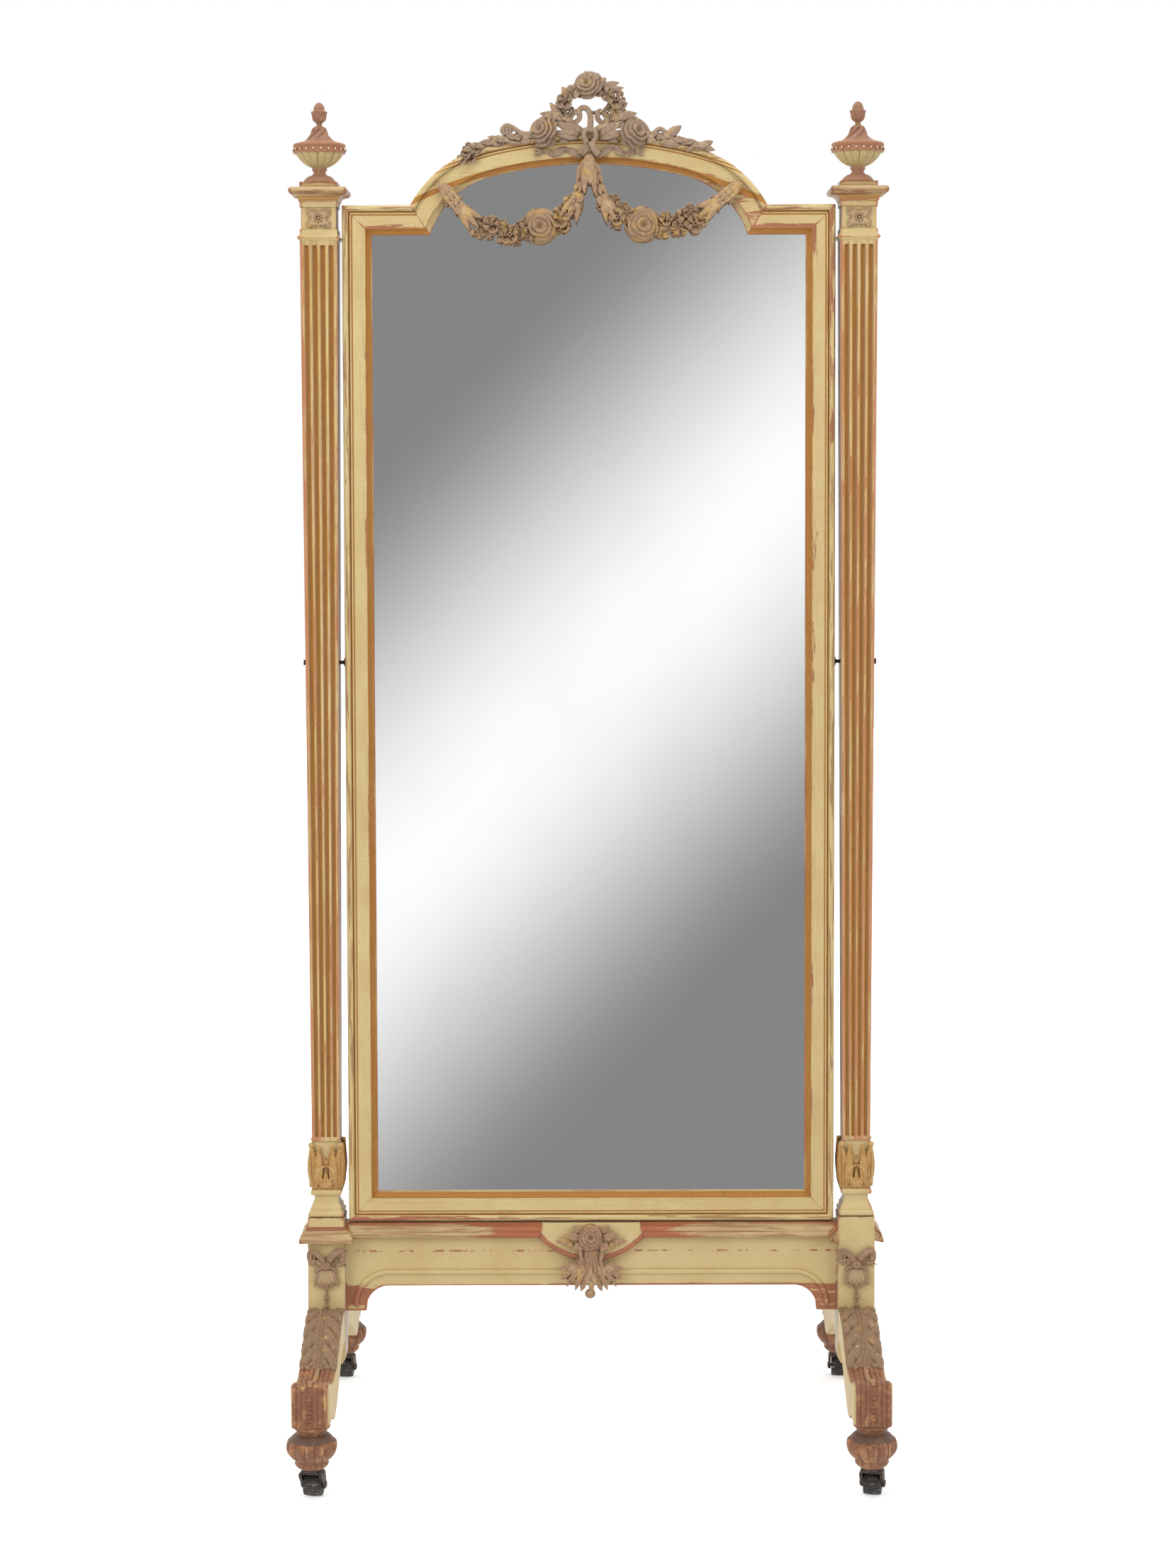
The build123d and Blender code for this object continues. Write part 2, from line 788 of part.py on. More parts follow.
def make_rail():
    """Board with an arched lower edge that ends in two bracket feet."""
    arch_half = rail_half_l - bracket_w
    low_z = rail_z - bracket_drop
    curve = 0.29 * bracket_r
    with BuildPart() as rail:
        with BuildSketch(front_plane(0, 0)):
            with BuildLine():
                Polyline((0, rail_top_z), (rail_half_l, rail_top_z), (rail_half_l, low_z), (arch_half, low_z))
                Line((arch_half, low_z), (arch_half, rail_z - bracket_r))
                ThreePointArc(
                    (arch_half, rail_z - bracket_r),
                    (arch_half - curve, rail_z - curve),
                    (arch_half - bracket_r, rail_z),
                )
                Polyline((arch_half - bracket_r, rail_z), (0, rail_z), (0, rail_top_z))
            make_face()
            mirror(about=Plane.YZ)
        extrude(amount=rail_t / 2, both=True)
        for side in (-1, 1):
            outer = side * (arch_half + bracket_w / 2)
            bend = side * (arch_half - bracket_r)
            middle = side * (arch_half + bracket_w / 2 - 0.29 * (bracket_r + bracket_w / 2))
            with BuildLine(front_plane(0, rail_front_y)) as bead_path:
                Line((0, rail_z + bead_inset), (bend, rail_z + bead_inset))
                ThreePointArc(
                    (bend, rail_z + bead_inset),
                    (middle, rail_z + bead_inset - 0.29 * (bracket_r + bracket_w / 2)),
                    (outer, rail_z + bead_inset - bracket_r - bracket_w / 2),
                )
            with BuildSketch(Plane(origin=(0, rail_front_y, rail_z + bead_inset), z_dir=(side, 0, 0))):
                Circle(bead_r)
            sweep(path=bead_path.line)
    return rail.part


def make_rail_moulding():
    """Stepped strip along the top of the rail, cut to the slope of the waist mouldings."""
    with BuildPart() as strip:
        with BuildSketch(side_plane(0)):
            with BuildLine():
                low_z = rail_top_z - rail_mould_h
                Polyline(
                    (rail_front_y, rail_top_z),
                    (rail_front_y - 0.3 * rail_mould_proj, rail_top_z),
                    (rail_front_y - 0.4 * rail_mould_proj, rail_top_z - 0.2 * rail_mould_h),
                )
                ThreePointArc(
                    (rail_front_y - 0.4 * rail_mould_proj, rail_top_z - 0.2 * rail_mould_h),
                    (rail_front_y - 0.72 * rail_mould_proj, rail_top_z - 0.4 * rail_mould_h),
                    (rail_front_y - 0.75 * rail_mould_proj, rail_top_z - 0.6 * rail_mould_h),
                )
                ThreePointArc(
                    (rail_front_y - 0.75 * rail_mould_proj, rail_top_z - 0.6 * rail_mould_h),
                    (rail_front_y - rail_mould_proj, rail_top_z - 0.78 * rail_mould_h),
                    (rail_front_y - 0.8 * rail_mould_proj, low_z),
                )
                Polyline((rail_front_y - 0.8 * rail_mould_proj, low_z), (rail_front_y, low_z))
                Line((rail_front_y, low_z), (rail_front_y, rail_top_z))
            make_face()
        extrude(amount=rail_half_l, both=True)
        for x in (-post_x, post_x):
            add(square_turning(x, draw_waist_half), mode=Mode.SUBTRACT)
        with BuildSketch(front_plane(0, rail_front_y)):
            add(make_lunette_face())
        extrude(amount=rail_mould_proj + 1, mode=Mode.SUBTRACT)
    return strip.part


def make_lunette_face():
    """Segment of a circle hanging from the top of the rail."""
    top_z = rail_top_z
    chord_z = rail_top_z - rail_mould_h
    with BuildSketch() as lunette:
        with BuildLine():
            Polyline(
                (-lunette_half_w, chord_z),
                (-lunette_half_w + 10, top_z),
                (lunette_half_w - 10, top_z),
                (lunette_half_w, chord_z),
            )
            ThreePointArc(
                (lunette_half_w, chord_z),
                (0, chord_z - lunette_depth),
                (-lunette_half_w, chord_z),
            )
        make_face()
    return lunette.sketch


def make_rail_ornament(rail_part):
    """Lunette with a rose, leaves, a shell and a drop, hollowed over the rail's bead."""
    rose_z = rail_top_z - 22
    shell_z = rose_z - 50
    drop_z = rail_z - 9
    with BuildPart() as ornament:
        with BuildSketch(front_plane(0, rail_front_y)):
            add(make_lunette_face())
        extrude(amount=lunette_t)
        with BuildSketch(front_plane(0, rail_front_y)):
            Polygon(
                (-17, rose_z - 8),
                (-20, shell_z + 14),
                (-40, shell_z - 8),
                (-36, shell_z - 18),
                (-14, shell_z - 20),
                (0, drop_z),
                (14, shell_z - 20),
                (36, shell_z - 18),
                (40, shell_z - 8),
                (20, shell_z + 14),
                (17, rose_z - 8),
                align=None,
            )
            with Locations((0, drop_z)):
                Circle(9)
        extrude(amount=lunette_t + 3)
        with BuildSketch(front_plane(0, rail_front_y)):
            with Locations((0, rose_z)):
                Circle(19)
            for side in (-1, 1):
                with Locations(Location((side * 38, rose_z - 4, 0), (0, 0, side * -12))):
                    Ellipse(24, 8.5)
        extrude(amount=lunette_t + 7)
        with BuildSketch(front_plane(0, rail_front_y - lunette_t - 7)):
            with Locations((0, rose_z)):
                Circle(14)
        extrude(amount=6, taper=30)
        add(rail_part, mode=Mode.SUBTRACT)
    return ornament.part


# Mirror frame


def sight_arcs():
    """Radius of the crown arc, and the haunch centre's height, at the sight edge."""
    centre_z = shoulder_z - haunch_drop
    rise = sight_crown_z - centre_z
    crown_r = (haunch_x**2 + rise**2 - haunch_r**2) / (2 * (rise - haunch_r))
    return crown_r, centre_z


def make_head_face(inset):
    """Shouldered arch, closed at the bottom rail. Inset is measured from the outer edge."""
    crown_r, centre_z = sight_arcs()
    arc_r = haunch_r + member_w - inset
    top_z = sight_crown_z + member_w - inset
    half_w = frame_half_w - inset
    low_z = frame_bottom_z + inset
    ledge_z = shoulder_z - inset
    foot_x = haunch_x + sqrt(arc_r**2 - (ledge_z - centre_z) ** 2)
    big_r = crown_r + member_w - inset
    big_centre_z = top_z - big_r
    lean = asin(haunch_x / (big_r - arc_r))
    joint = (big_r * sin(lean), big_centre_z + big_r * cos(lean))
    half_turn = (lean + acos((ledge_z - centre_z) / arc_r)) / 2
    haunch_mid = (haunch_x + arc_r * sin(half_turn), centre_z + arc_r * cos(half_turn))
    crown_mid = (big_r * sin(lean / 2), big_centre_z + big_r * cos(lean / 2))
    with BuildSketch() as head:
        with BuildLine():
            Polyline((0, low_z), (half_w, low_z), (half_w, ledge_z), (foot_x, ledge_z))
            ThreePointArc((foot_x, ledge_z), haunch_mid, joint)
            ThreePointArc(joint, crown_mid, (0, top_z))
            Line((0, top_z), (0, low_z))
        make_face()
        mirror(about=Plane.YZ)
    return head.sketch


def draw_member_section(reach):
    """Moulded section. Reach turns an inset from the outer edge into a place on the sketch."""
    band_y = frame_front_y
    flat_in = member_w - cove_w
    points = [
        (band_w, band_y + 3.5),
        (band_w + 1, flat_y),
        (band_w + 1.5, flat_y),
    ]
    Line((reach(0), frame_back_y), (reach(0), band_y + 4))
    ThreePointArc((reach(0), band_y + 4), (reach(0.38 * band_w), band_y), (reach(band_w), band_y + 3.5))
    Polyline(*[(reach(inset), y) for inset, y in points])
    bead_end = band_w + 1.5 + bead_w
    ThreePointArc(
        (reach(band_w + 1.5), flat_y),
        (reach(band_w + 1.5 + bead_w / 2), flat_y - bead_w / 2),
        (reach(bead_end), flat_y),
    )
    Line((reach(bead_end), flat_y), (reach(flat_in), flat_y))
    ThreePointArc(
        (reach(flat_in), flat_y),
        (reach(flat_in + 0.3 * cove_w), sight_y - 1.5),
        (reach(member_w - sight_fillet_w), sight_y),
    )
    Polyline(
        (reach(member_w - sight_fillet_w), sight_y),
        (reach(member_w), sight_y),
        (reach(member_w), glass_front_y),
        (reach(member_w - rabbet_w), glass_front_y),
        (reach(member_w - rabbet_w), frame_back_y),
        (reach(0), frame_back_y),
    )


def straight_member(start, along, inward, length):
    """A length of the moulding. Inward points from its outer edge to the glass."""
    y_dir = Vector(along).cross(Vector(inward))
    section = Plane(origin=start, x_dir=inward, z_dir=along)
    flip = 1 if y_dir.Y > 0 else -1
    with BuildPart() as member:
        with BuildSketch(section):
            with BuildLine():
                draw_member_section(lambda inset: inset)
            make_face()
            if flip < 0:
                mirror(about=Plane.XZ, mode=Mode.REPLACE)
        extrude(amount=length)
    return member.part


def arched_member(centre, outer_r, start_angle, end_angle):
    """The moulding turned about a centre. Angles run from straight up towards +X."""
    lean = radians(start_angle)
    radial = (sin(lean), 0, cos(lean))
    with BuildPart() as member:
        with BuildSketch(Plane(origin=centre, x_dir=radial, z_dir=(-cos(lean), 0, sin(lean)))):
            with BuildLine():
                draw_member_section(lambda inset: outer_r - inset)
            make_face()
        revolve(axis=Axis(centre, (0, 1, 0)), revolution_arc=end_angle - start_angle)
    return member.part


def cut_to_zone(part, corners):
    """Keep what lies inside a polygon seen from the front: the mitres of one member."""
    with BuildPart() as cut:
        with BuildSketch(front_plane(0, frame_back_y + 1)):
            Polygon(*corners, align=None)
        extrude(amount=frame_back_y - frame_front_y + 2)
        add(part, mode=Mode.INTERSECT)
    return cut.part


def make_frame_members():
    """Stiles, bottom rail, shoulders and arch, mitred where they meet."""
    width, low, high = frame_half_w, frame_bottom_z, shoulder_z
    deep = member_w + 10
    crown_r, haunch_z = sight_arcs()
    outer_haunch_r = haunch_r + member_w
    outer_crown_r = crown_r + member_w
    crown_centre_z = sight_crown_z - crown_r
    lean = degrees(asin(haunch_x / (outer_crown_r - outer_haunch_r)))
    foot_out = haunch_x + sqrt(outer_haunch_r**2 - haunch_drop**2)
    foot_in = haunch_x + sqrt(haunch_r**2 - (haunch_drop - member_w) ** 2)
    slope = (foot_out - foot_in) / member_w
    mitre_top = (foot_out + slope * deep, high + deep)
    mitre_low = (foot_in - slope * deep, high - member_w - deep)

    bottom = straight_member((width, 0, low), (-1, 0, 0), (0, 0, 1), 2 * width)
    stile = straight_member((width, 0, low), (0, 0, 1), (-1, 0, 0), high - low)
    shoulder = straight_member((width, 0, high), (-1, 0, 0), (0, 0, -1), width)
    haunch = arched_member((haunch_x, 0, haunch_z), outer_haunch_r, lean, 80)
    crown = arched_member((0, 0, crown_centre_z), outer_crown_r, 0, lean)

    bottom_zone = [(width, low), (width - deep, low + deep), (deep - width, low + deep), (-width, low)]
    stile_zone = [(width, low), (width - deep, low + deep), (width - deep, high - deep), (width, high)]
    shoulder_zone = [(width, high), (width - deep, high - deep), mitre_low, mitre_top, (width, high + deep)]
    haunch_zone = [mitre_top, mitre_low, (0, low), (0, high + 4 * deep), (width, high + 4 * deep)]

    with BuildPart() as arch:
        add(cut_to_zone(haunch, haunch_zone))
        add(crown)
        mirror(about=Plane.YZ)
    made = {"frame_bottom_rail": cut_to_zone(bottom, bottom_zone), "frame_arch": arch.part}
    pairs = {
        "stile": cut_to_zone(stile, stile_zone),
        "shoulder": cut_to_zone(shoulder, shoulder_zone),
    }
    for name, right in pairs.items():
        with BuildPart() as left:
            add(right)
            mirror(about=Plane.YZ, mode=Mode.REPLACE)
        made[f"frame_right_{name}"] = right
        made[f"frame_left_{name}"] = left.part
    return made


def bore_stile(stile, side):
    with BuildPart() as bored:
        add(stile)
        with BuildSketch(side_plane(side * (frame_half_w - bolt_hold))):
            with Locations((0, pivot_z)):
                Circle(bolt_d / 2 + thread_gap)
        extrude(amount=side * (bolt_hold + 1), mode=Mode.SUBTRACT)
    return bored.part


def make_panel(front, thickness):
    """A sheet that fills the rabbet: the glass, or the board behind it."""
    inset = member_w - rabbet_w + rabbet_gap
    with BuildPart() as panel:
        with BuildSketch(front_plane(0, front + thickness)):
            add(make_head_face(inset))
        extrude(amount=thickness)
    return panel.part


def make_battens():
    with BuildPart() as battens:
        for z in (frame_bottom_z + batten_inset, shoulder_z - batten_inset):
            with BuildSketch(front_plane(0, frame_back_y + batten_t)):
                with Locations((0, z)):
                    Rectangle(2 * frame_half_w - 24, batten_w)
            extrude(amount=batten_t)
        outer = battens.faces().group_by(Axis.Y)[-1].edges()
        chamfer(outer, length=2.5)
    return battens.part


# Pivots


def make_pivot(side):
    """Boss on the stile, and the bolt that runs out through the post."""
    sign = 1 if side == "right" else -1
    post_face = post_x + shaft_half_at(pivot_z)
    turning = Plane(origin=(0, 0, pivot_z), x_dir=(sign, 0, 0), z_dir=(0, -sign, 0))
    tilt_axis = Axis((0, 0, pivot_z), (1, 0, 0))
    bolt_r = bolt_d / 2
    head_in = post_face + bolt_gap
    with BuildPart() as plate:
        with BuildSketch(turning):
            with BuildLine():
                hole = bolt_r + thread_gap
                Line((frame_half_w, hole), (frame_half_w, pivot_plate_d / 2))
                ThreePointArc(
                    (frame_half_w, pivot_plate_d / 2),
                    (frame_half_w + 0.75 * pivot_plate_t, pivot_plate_d / 3),
                    (frame_half_w + pivot_plate_t, hole),
                )
                Line((frame_half_w + pivot_plate_t, hole), (frame_half_w, hole))
            make_face()
        revolve(axis=tilt_axis)
    save(plate.part, f"{side}_pivot_plate")
    with BuildPart() as bolt:
        with BuildSketch(turning):
            Polygon(
                (frame_half_w - bolt_hold, 0),
                (frame_half_w - bolt_hold, bolt_r),
                (head_in, bolt_r),
                (head_in + bolt_head_t, bolt_head_d / 2),
                (head_in + bolt_head_t, 0),
                align=None,
            )
        revolve(axis=tilt_axis)
    save(bolt.part, f"{side}_pivot_bolt")


# Crest and swags


def make_crest(arch):
    """Pierced wreath with roses, sprays along the arch, and ribbon tails on its face."""
    crown_z = sight_crown_z + member_w
    wreath_z = crown_z + 45
    crown_r = sight_arcs()[0] + member_w
    spray_r = crown_r + 7
    spray_z = crown_z - crown_r
    front = crest_back_y - crest_t
    with BuildPart() as crest:
        with BuildSketch(front_plane(0, crest_back_y)):
            with BuildLine():
                CenterArc((0, spray_z), spray_r, 90 - 17, 34)
            trace(line_width=16)
            with Locations((0, wreath_z)):
                Ellipse(56, 46)
            with Locations((-1, crown_z + 77)):
                Circle(18)
            for side in (-1, 1):
                with Locations((side * 72, crown_z + 5)):
                    Circle(20)
                with Locations((side * 126, crown_z - 4)):
                    Circle(13)
                with Locations((side * 176, crown_z - 22)):
                    Circle(11)
            with Locations((1, wreath_z + 2)):
                Ellipse(25, 12, mode=Mode.SUBTRACT)
            with Locations((-11, wreath_z - 23), (13, wreath_z - 23)):
                Ellipse(7, 5, mode=Mode.SUBTRACT)
        extrude(amount=crest_t)
        with BuildSketch(front_plane(0, frame_back_y)):
            add(make_head_face(0))
        extrude(amount=frame_back_y - frame_front_y, mode=Mode.SUBTRACT)
        with BuildSketch(front_plane(0, frame_front_y)):
            with Locations((2, crown_z - 4)):
                Ellipse(15, 21)
        extrude(amount=relief_t + 1)
        for side in (-1, 1):
            with BuildSketch(front_plane(side * 72, front, crown_z + 5)):
                Circle(18)
            extrude(amount=blossom_t, taper=25)
        with BuildSketch(front_plane(-1, front, crown_z + 77)):
            Circle(16)
        extrude(amount=blossom_t, taper=25)
        with BuildSketch(front_plane(0, flat_y)):
            for side in (-1, 1):
                with BuildLine():
                    Spline(
                        (side * 6, crown_z - 26),
                        (side * 28, crown_z - 30),
                        (side * 48, crown_z - 20),
                        (side * 80, crown_z - 31),
                    )
                trace(line_width=9)
        extrude(amount=relief_t)
        with BuildSketch(front_plane(0, flat_y)):
            with Locations((2, crown_z - 28)):
                Rectangle(22, 20)
        extrude(amount=relief_t)
        add(arch, mode=Mode.SUBTRACT)
    return crest.part


def make_swag(side):
    """Flower garland from the middle of the arch out to its haunch."""
    low_z = sight_crown_z - 96
    route = [
        (side * (swag_w / 2 + 1), sight_crown_z + 2),
        (side * 17, sight_crown_z - 52),
        (side * 45, sight_crown_z - 84),
        (side * 84, low_z + 2),
        (side * 128, low_z - 4),
        (side * 170, sight_crown_z - 86),
        (side * 205, sight_crown_z - 60),
        (side * 228, sight_crown_z - 38),
    ]
    roses = [(side * 79, low_z + 2, 22.0)]
    flowers = [(side * 42, low_z + 14, 11.0), (side * 118, low_z - 8, 13.0), (side * 155, low_z + 6, 14.0)]
    with BuildPart() as swag:
        with BuildSketch(front_plane(0, flat_y)):
            with BuildLine():
                Spline(*route)
            trace(line_width=swag_w)
            for x, z, radius in roses + flowers:
                with Locations((x, z)):
                    Circle(radius)
        extrude(amount=relief_t)
        for x, z, radius in roses + flowers:
            with BuildSketch(front_plane(x, flat_y - relief_t, z)):
                Circle(radius - 1)
            extrude(amount=blossom_t, taper=28)
        split(bisect_by=Plane(origin=(side * swag_parting, 0, 0), z_dir=(side, 0, 0)), keep=Keep.TOP)
    return swag.part


def make_husk_drop():
    """Long bell husk that hangs from the knot over the meeting of the two swags."""
    top_z = sight_crown_z + 6
    low_z = sight_crown_z - 32
    with BuildPart() as drop:
        with BuildSketch(front_plane(0, flat_y - relief_t)):
            with BuildLine():
                Polyline((-7, top_z), (7, top_z), (11, top_z - 14))
                ThreePointArc((11, top_z - 14), (9, low_z + 13), (1, low_z))
                ThreePointArc((1, low_z), (-8, low_z + 13), (-10, top_z - 14))
                Line((-10, top_z - 14), (-7, top_z))
            make_face()
        extrude(amount=relief_t, taper=8)
    return drop.part


# Making the pieces

for side_name, side_sign in (("left", -1), ("right", 1)):
    axis_x = side_sign * post_x
    for end_name, end_sign in (("front", -1), ("rear", 1)):
        corner_name = f"{side_name}_{end_name}"
        make_caster(corner_name, axis_x, end_sign * foot_y)
        make_foot(corner_name, axis_x, end_sign * foot_y)
        make_leg(corner_name, axis_x, end_sign)
    save(make_post(side_sign, axis_x), f"{side_name}_post")
    save(square_turning(axis_x, draw_cornice_half), f"{side_name}_capital")
    urn, lid_seat_z = make_urn(axis_x)
    save(urn, f"{side_name}_urn")
    save(make_urn_lid(axis_x, lid_seat_z), f"{side_name}_urn_lid")
    save(make_rosette(axis_x), f"{side_name}_rosette")
    save(make_collar(axis_x), f"{side_name}_leaf_collar")
    save(make_waist(axis_x, side_name == "left"), f"{side_name}_waist_moulding")
    save(make_bow(axis_x), f"{side_name}_bow")
    make_pivot(side_name)
    save(make_swag(side_sign), f"{side_name}_swag")

rail_board = make_rail()
save(rail_board, "rail")
save(make_rail_moulding(), "rail_moulding")
save(make_rail_ornament(rail_board), "rail_ornament")

members = make_frame_members()
members["frame_left_stile"] = bore_stile(members["frame_left_stile"], -1)
members["frame_right_stile"] = bore_stile(members["frame_right_stile"], 1)
for member_name, member_part in members.items():
    save(member_part, member_name)
save(make_panel(glass_front_y, glass_t), "glass")
save(make_panel(glass_front_y + glass_t, board_t), "back_board")
save(make_battens(), "back_battens")
save(make_crest(members["frame_arch"]), "crest")
save(make_husk_drop(), "husk_drop")
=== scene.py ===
import random
from math import atan2, cos, exp, hypot, pi, radians, sin, sqrt

import bmesh
import bpy
from mathutils import Matrix, Vector
from mathutils.bvhtree import BVHTree


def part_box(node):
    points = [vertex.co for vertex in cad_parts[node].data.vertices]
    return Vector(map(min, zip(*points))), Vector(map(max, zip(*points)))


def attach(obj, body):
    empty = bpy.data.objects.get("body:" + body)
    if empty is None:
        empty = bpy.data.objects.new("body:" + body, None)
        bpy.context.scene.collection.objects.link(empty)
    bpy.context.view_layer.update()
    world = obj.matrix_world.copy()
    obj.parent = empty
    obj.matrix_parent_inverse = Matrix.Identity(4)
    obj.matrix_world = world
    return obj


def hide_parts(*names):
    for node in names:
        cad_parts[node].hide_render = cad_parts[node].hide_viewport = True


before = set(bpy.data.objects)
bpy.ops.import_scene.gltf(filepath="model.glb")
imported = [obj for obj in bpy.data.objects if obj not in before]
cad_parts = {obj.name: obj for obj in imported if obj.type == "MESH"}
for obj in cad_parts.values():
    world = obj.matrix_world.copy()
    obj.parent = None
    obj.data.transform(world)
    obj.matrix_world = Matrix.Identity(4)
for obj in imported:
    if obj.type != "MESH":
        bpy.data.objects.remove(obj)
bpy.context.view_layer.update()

bl_info = {
    "name": "Cheval Mirror Workshop",
    "version": (1, 0, 0),
    "blender": (4, 5, 0),
    "location": "View3D > Sidebar > Cheval Mirror",
    "description": "Carves, paints and gilds a standing mirror round its timber frame",
    "category": "Object",
}

MM = 0.001
FRONT = Vector((0, -1, 0))
UP = Vector((0, 0, 1))
SIDES = {"left": -1, "right": 1}
ENDS = {"front": -1, "rear": 1}
CORNERS = {f"{side}_{end}": (x, y) for side, x in SIDES.items() for end, y in ENDS.items()}


def node_middle(name):
    low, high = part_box(name)
    return (low + high) / 2


POST_X = node_middle("right_post").x


# Colours and sizes that a user may change


def srgb(red, green, blue):
    """A colour given as it shows on screen, turned to the values that shaders use."""
    return tuple(((c / 255 + 0.055) / 1.055) ** 2.4 if c > 10 else c / 3295 for c in (red, green, blue))


def colour_property(name, description, shown):
    return bpy.props.FloatVectorProperty(
        name=name, description=description, default=srgb(*shown), subtype="COLOR", min=0, max=1
    )


class MirrorColours(bpy.types.PropertyGroup):
    cream: colour_property("Cream", "Main coat of aged paint", (207, 182, 126))
    pale: colour_property("Pale", "Rubbed highlights of the paint", (218, 197, 143))
    ochre: colour_property("Ochre", "Glazed grooves, flutes and coves", (176, 120, 50))
    bole: colour_property("Bole", "Terracotta ground where the paint is gone", (184, 118, 84))
    # Umber is the painted shade in the hollows and corners of the paint, and the colour of the knots in the
    # back boards.
    umber: colour_property("Umber", "Dirt in hollows and joints", (82, 60, 42))
    carving: colour_property("Carving", "Taupe ground of the carved ornament", (158, 127, 98))
    gilding: colour_property("Gilding", "What is left of the gold", (196, 156, 92))
    bare_wood: colour_property("Bare wood", "Unpainted timber towards the mirror", (150, 134, 122))
    softwood: colour_property("Softwood", "Back boards", (158, 124, 86))
    iron: colour_property("Iron", "Caster forks and pivot bolts", (58, 48, 44))
    tread: colour_property("Tread", "Scuffed wheels", (74, 71, 68))


class CarvingSizes(bpy.types.PropertyGroup):
    leaf_thickness: bpy.props.FloatProperty(
        name="Leaf thickness", description="Thickness of leaves", default=2.0 * MM, unit="LENGTH"
    )
    ribbon_thickness: bpy.props.FloatProperty(
        name="Ribbon thickness", description="Thickness of the bows", default=2.4 * MM, unit="LENGTH"
    )
    gadroons: bpy.props.IntProperty(
        name="Gadroons", description="Lobes round each bun foot", default=14, min=6
    )


class StudioSettings(bpy.types.PropertyGroup):
    camera_height: bpy.props.FloatProperty(
        name="Camera height", description="Of the lens above the floor", default=1.5313, unit="LENGTH"
    )
    camera_distance: bpy.props.FloatProperty(
        name="Camera distance", description="From the lens to the glass", default=5.0, unit="LENGTH"
    )
    camera_pitch: bpy.props.FloatProperty(
        name="Camera pitch", description="How far it looks down", default=radians(3.563), unit="ROTATION"
    )
    camera_roll: bpy.props.FloatProperty(
        name="Camera roll", description="Tilt of the horizon", default=radians(0.143), unit="ROTATION"
    )
    lens: bpy.props.FloatProperty(
        name="Lens", description="Focal length for a frame 36 mm high", default=73.24, unit="CAMERA"
    )
    key_power: bpy.props.FloatProperty(
        name="Key light", description="Power of the large front lights", default=62, unit="POWER"
    )
    sky: bpy.props.FloatProperty(
        name="Sky", description="Strength of the even light from all sides", default=0.50, min=0
    )


# Materials


class Finish:
    """A material in the making, with short ways to add and join its nodes."""

    def __init__(self, name, roughness=0.6, metallic=0.0):
        self.material = bpy.data.materials.new(name)
        self.material.use_nodes = True
        self.tree = self.material.node_tree
        self.shader = self.tree.nodes["Principled BSDF"]
        self.shader.inputs["Roughness"].default_value = roughness
        self.shader.inputs["Metallic"].default_value = metallic
        self.coordinates = self.node("ShaderNodeTexCoord")
        self.place = self.coordinates.outputs["Object"]

    def node(self, kind, settings=None, inputs=None):
        made = self.tree.nodes.new(kind)
        for name, value in (settings or {}).items():
            setattr(made, name, value)
        for key, value in (inputs or {}).items():
            if isinstance(value, bpy.types.NodeSocket):
                self.tree.links.new(value, made.inputs[key])
            else:
                made.inputs[key].default_value = value
        return made

    def math(self, operation, first, second=0.0, clamp=False):
        settings = {"operation": operation, "use_clamp": clamp}
        return self.node("ShaderNodeMath", settings, {0: first, 1: second}).outputs[0]

    def share(self, value, low, high):
        """0 where the value is at low, 1 where it is at high, and between them in between."""
        inputs = {"Value": value, "From Min": low, "From Max": high}
        return self.node("ShaderNodeMapRange", {"clamp": True}, inputs).outputs[0]

    def noise(self, scale, detail=5.0, rough=0.6, stretch=(1, 1, 1), shift=(0, 0, 0)):
        moved = {"Vector": self.place, "Scale": stretch, "Location": shift}
        spot = self.node("ShaderNodeMapping", None, moved)
        inputs = {"Vector": spot.outputs[0], "Scale": scale, "Detail": detail, "Roughness": rough}
        return self.node("ShaderNodeTexNoise", None, inputs).outputs["Fac"]

    def mix(self, share, first, second, way="MIX"):
        def solid(colour):
            return colour if isinstance(colour, bpy.types.NodeSocket) else (*colour, 1)

        inputs = {"Fac": share, "Color1": solid(first), "Color2": solid(second)}
        return self.node("ShaderNodeMixRGB", {"blend_type": way}, inputs).outputs[0]

    def axes(self):
        return self.node("ShaderNodeSeparateXYZ", None, {0: self.place}).outputs

    def band(self, value, middle, half, soft):
        """1 within half of the middle, fading to 0 over soft."""
        away = self.math("ABSOLUTE", self.math("SUBTRACT", value, middle))
        return self.share(away, half + soft, half)

    def hollow(self, reach, low=0.25, high=0.85):
        """1 deep in corners and carving, 0 in the open, by ambient occlusion; the finishes darken by it as
        painted shade.
        """
        settings = {"samples": 8, "only_local": True}
        open_share = self.node("ShaderNodeAmbientOcclusion", settings, {"Distance": reach}).outputs["AO"]
        return self.share(open_share, high, low)

    def edge(self, reach, low=0.55, high=0.9):
        """1 along sharp outer edges, 0 on the flat."""
        settings = {"samples": 8, "only_local": True, "inside": True}
        closed = self.node("ShaderNodeAmbientOcclusion", settings, {"Distance": reach}).outputs["AO"]
        return self.share(closed, high, low)

    def colour(self, socket):
        self.tree.links.new(socket, self.shader.inputs["Base Color"])

    def show(self, surface):
        """Use another shader in place of the usual one."""
        end = self.tree.nodes["Material Output"]
        self.tree.links.new(surface, end.inputs["Surface"])

    def bump(self, height, strength, distance):
        inputs = {"Height": height, "Strength": strength, "Distance": distance}
        made = self.node("ShaderNodeBump", None, inputs)
        self.tree.links.new(made.outputs[0], self.shader.inputs["Normal"])

    def vary_roughness(self, value, low, high):
        inputs = {"Value": value, "To Min": low, "To Max": high}
        made = self.node("ShaderNodeMapRange", None, inputs)
        self.tree.links.new(made.outputs[0], self.shader.inputs["Roughness"])


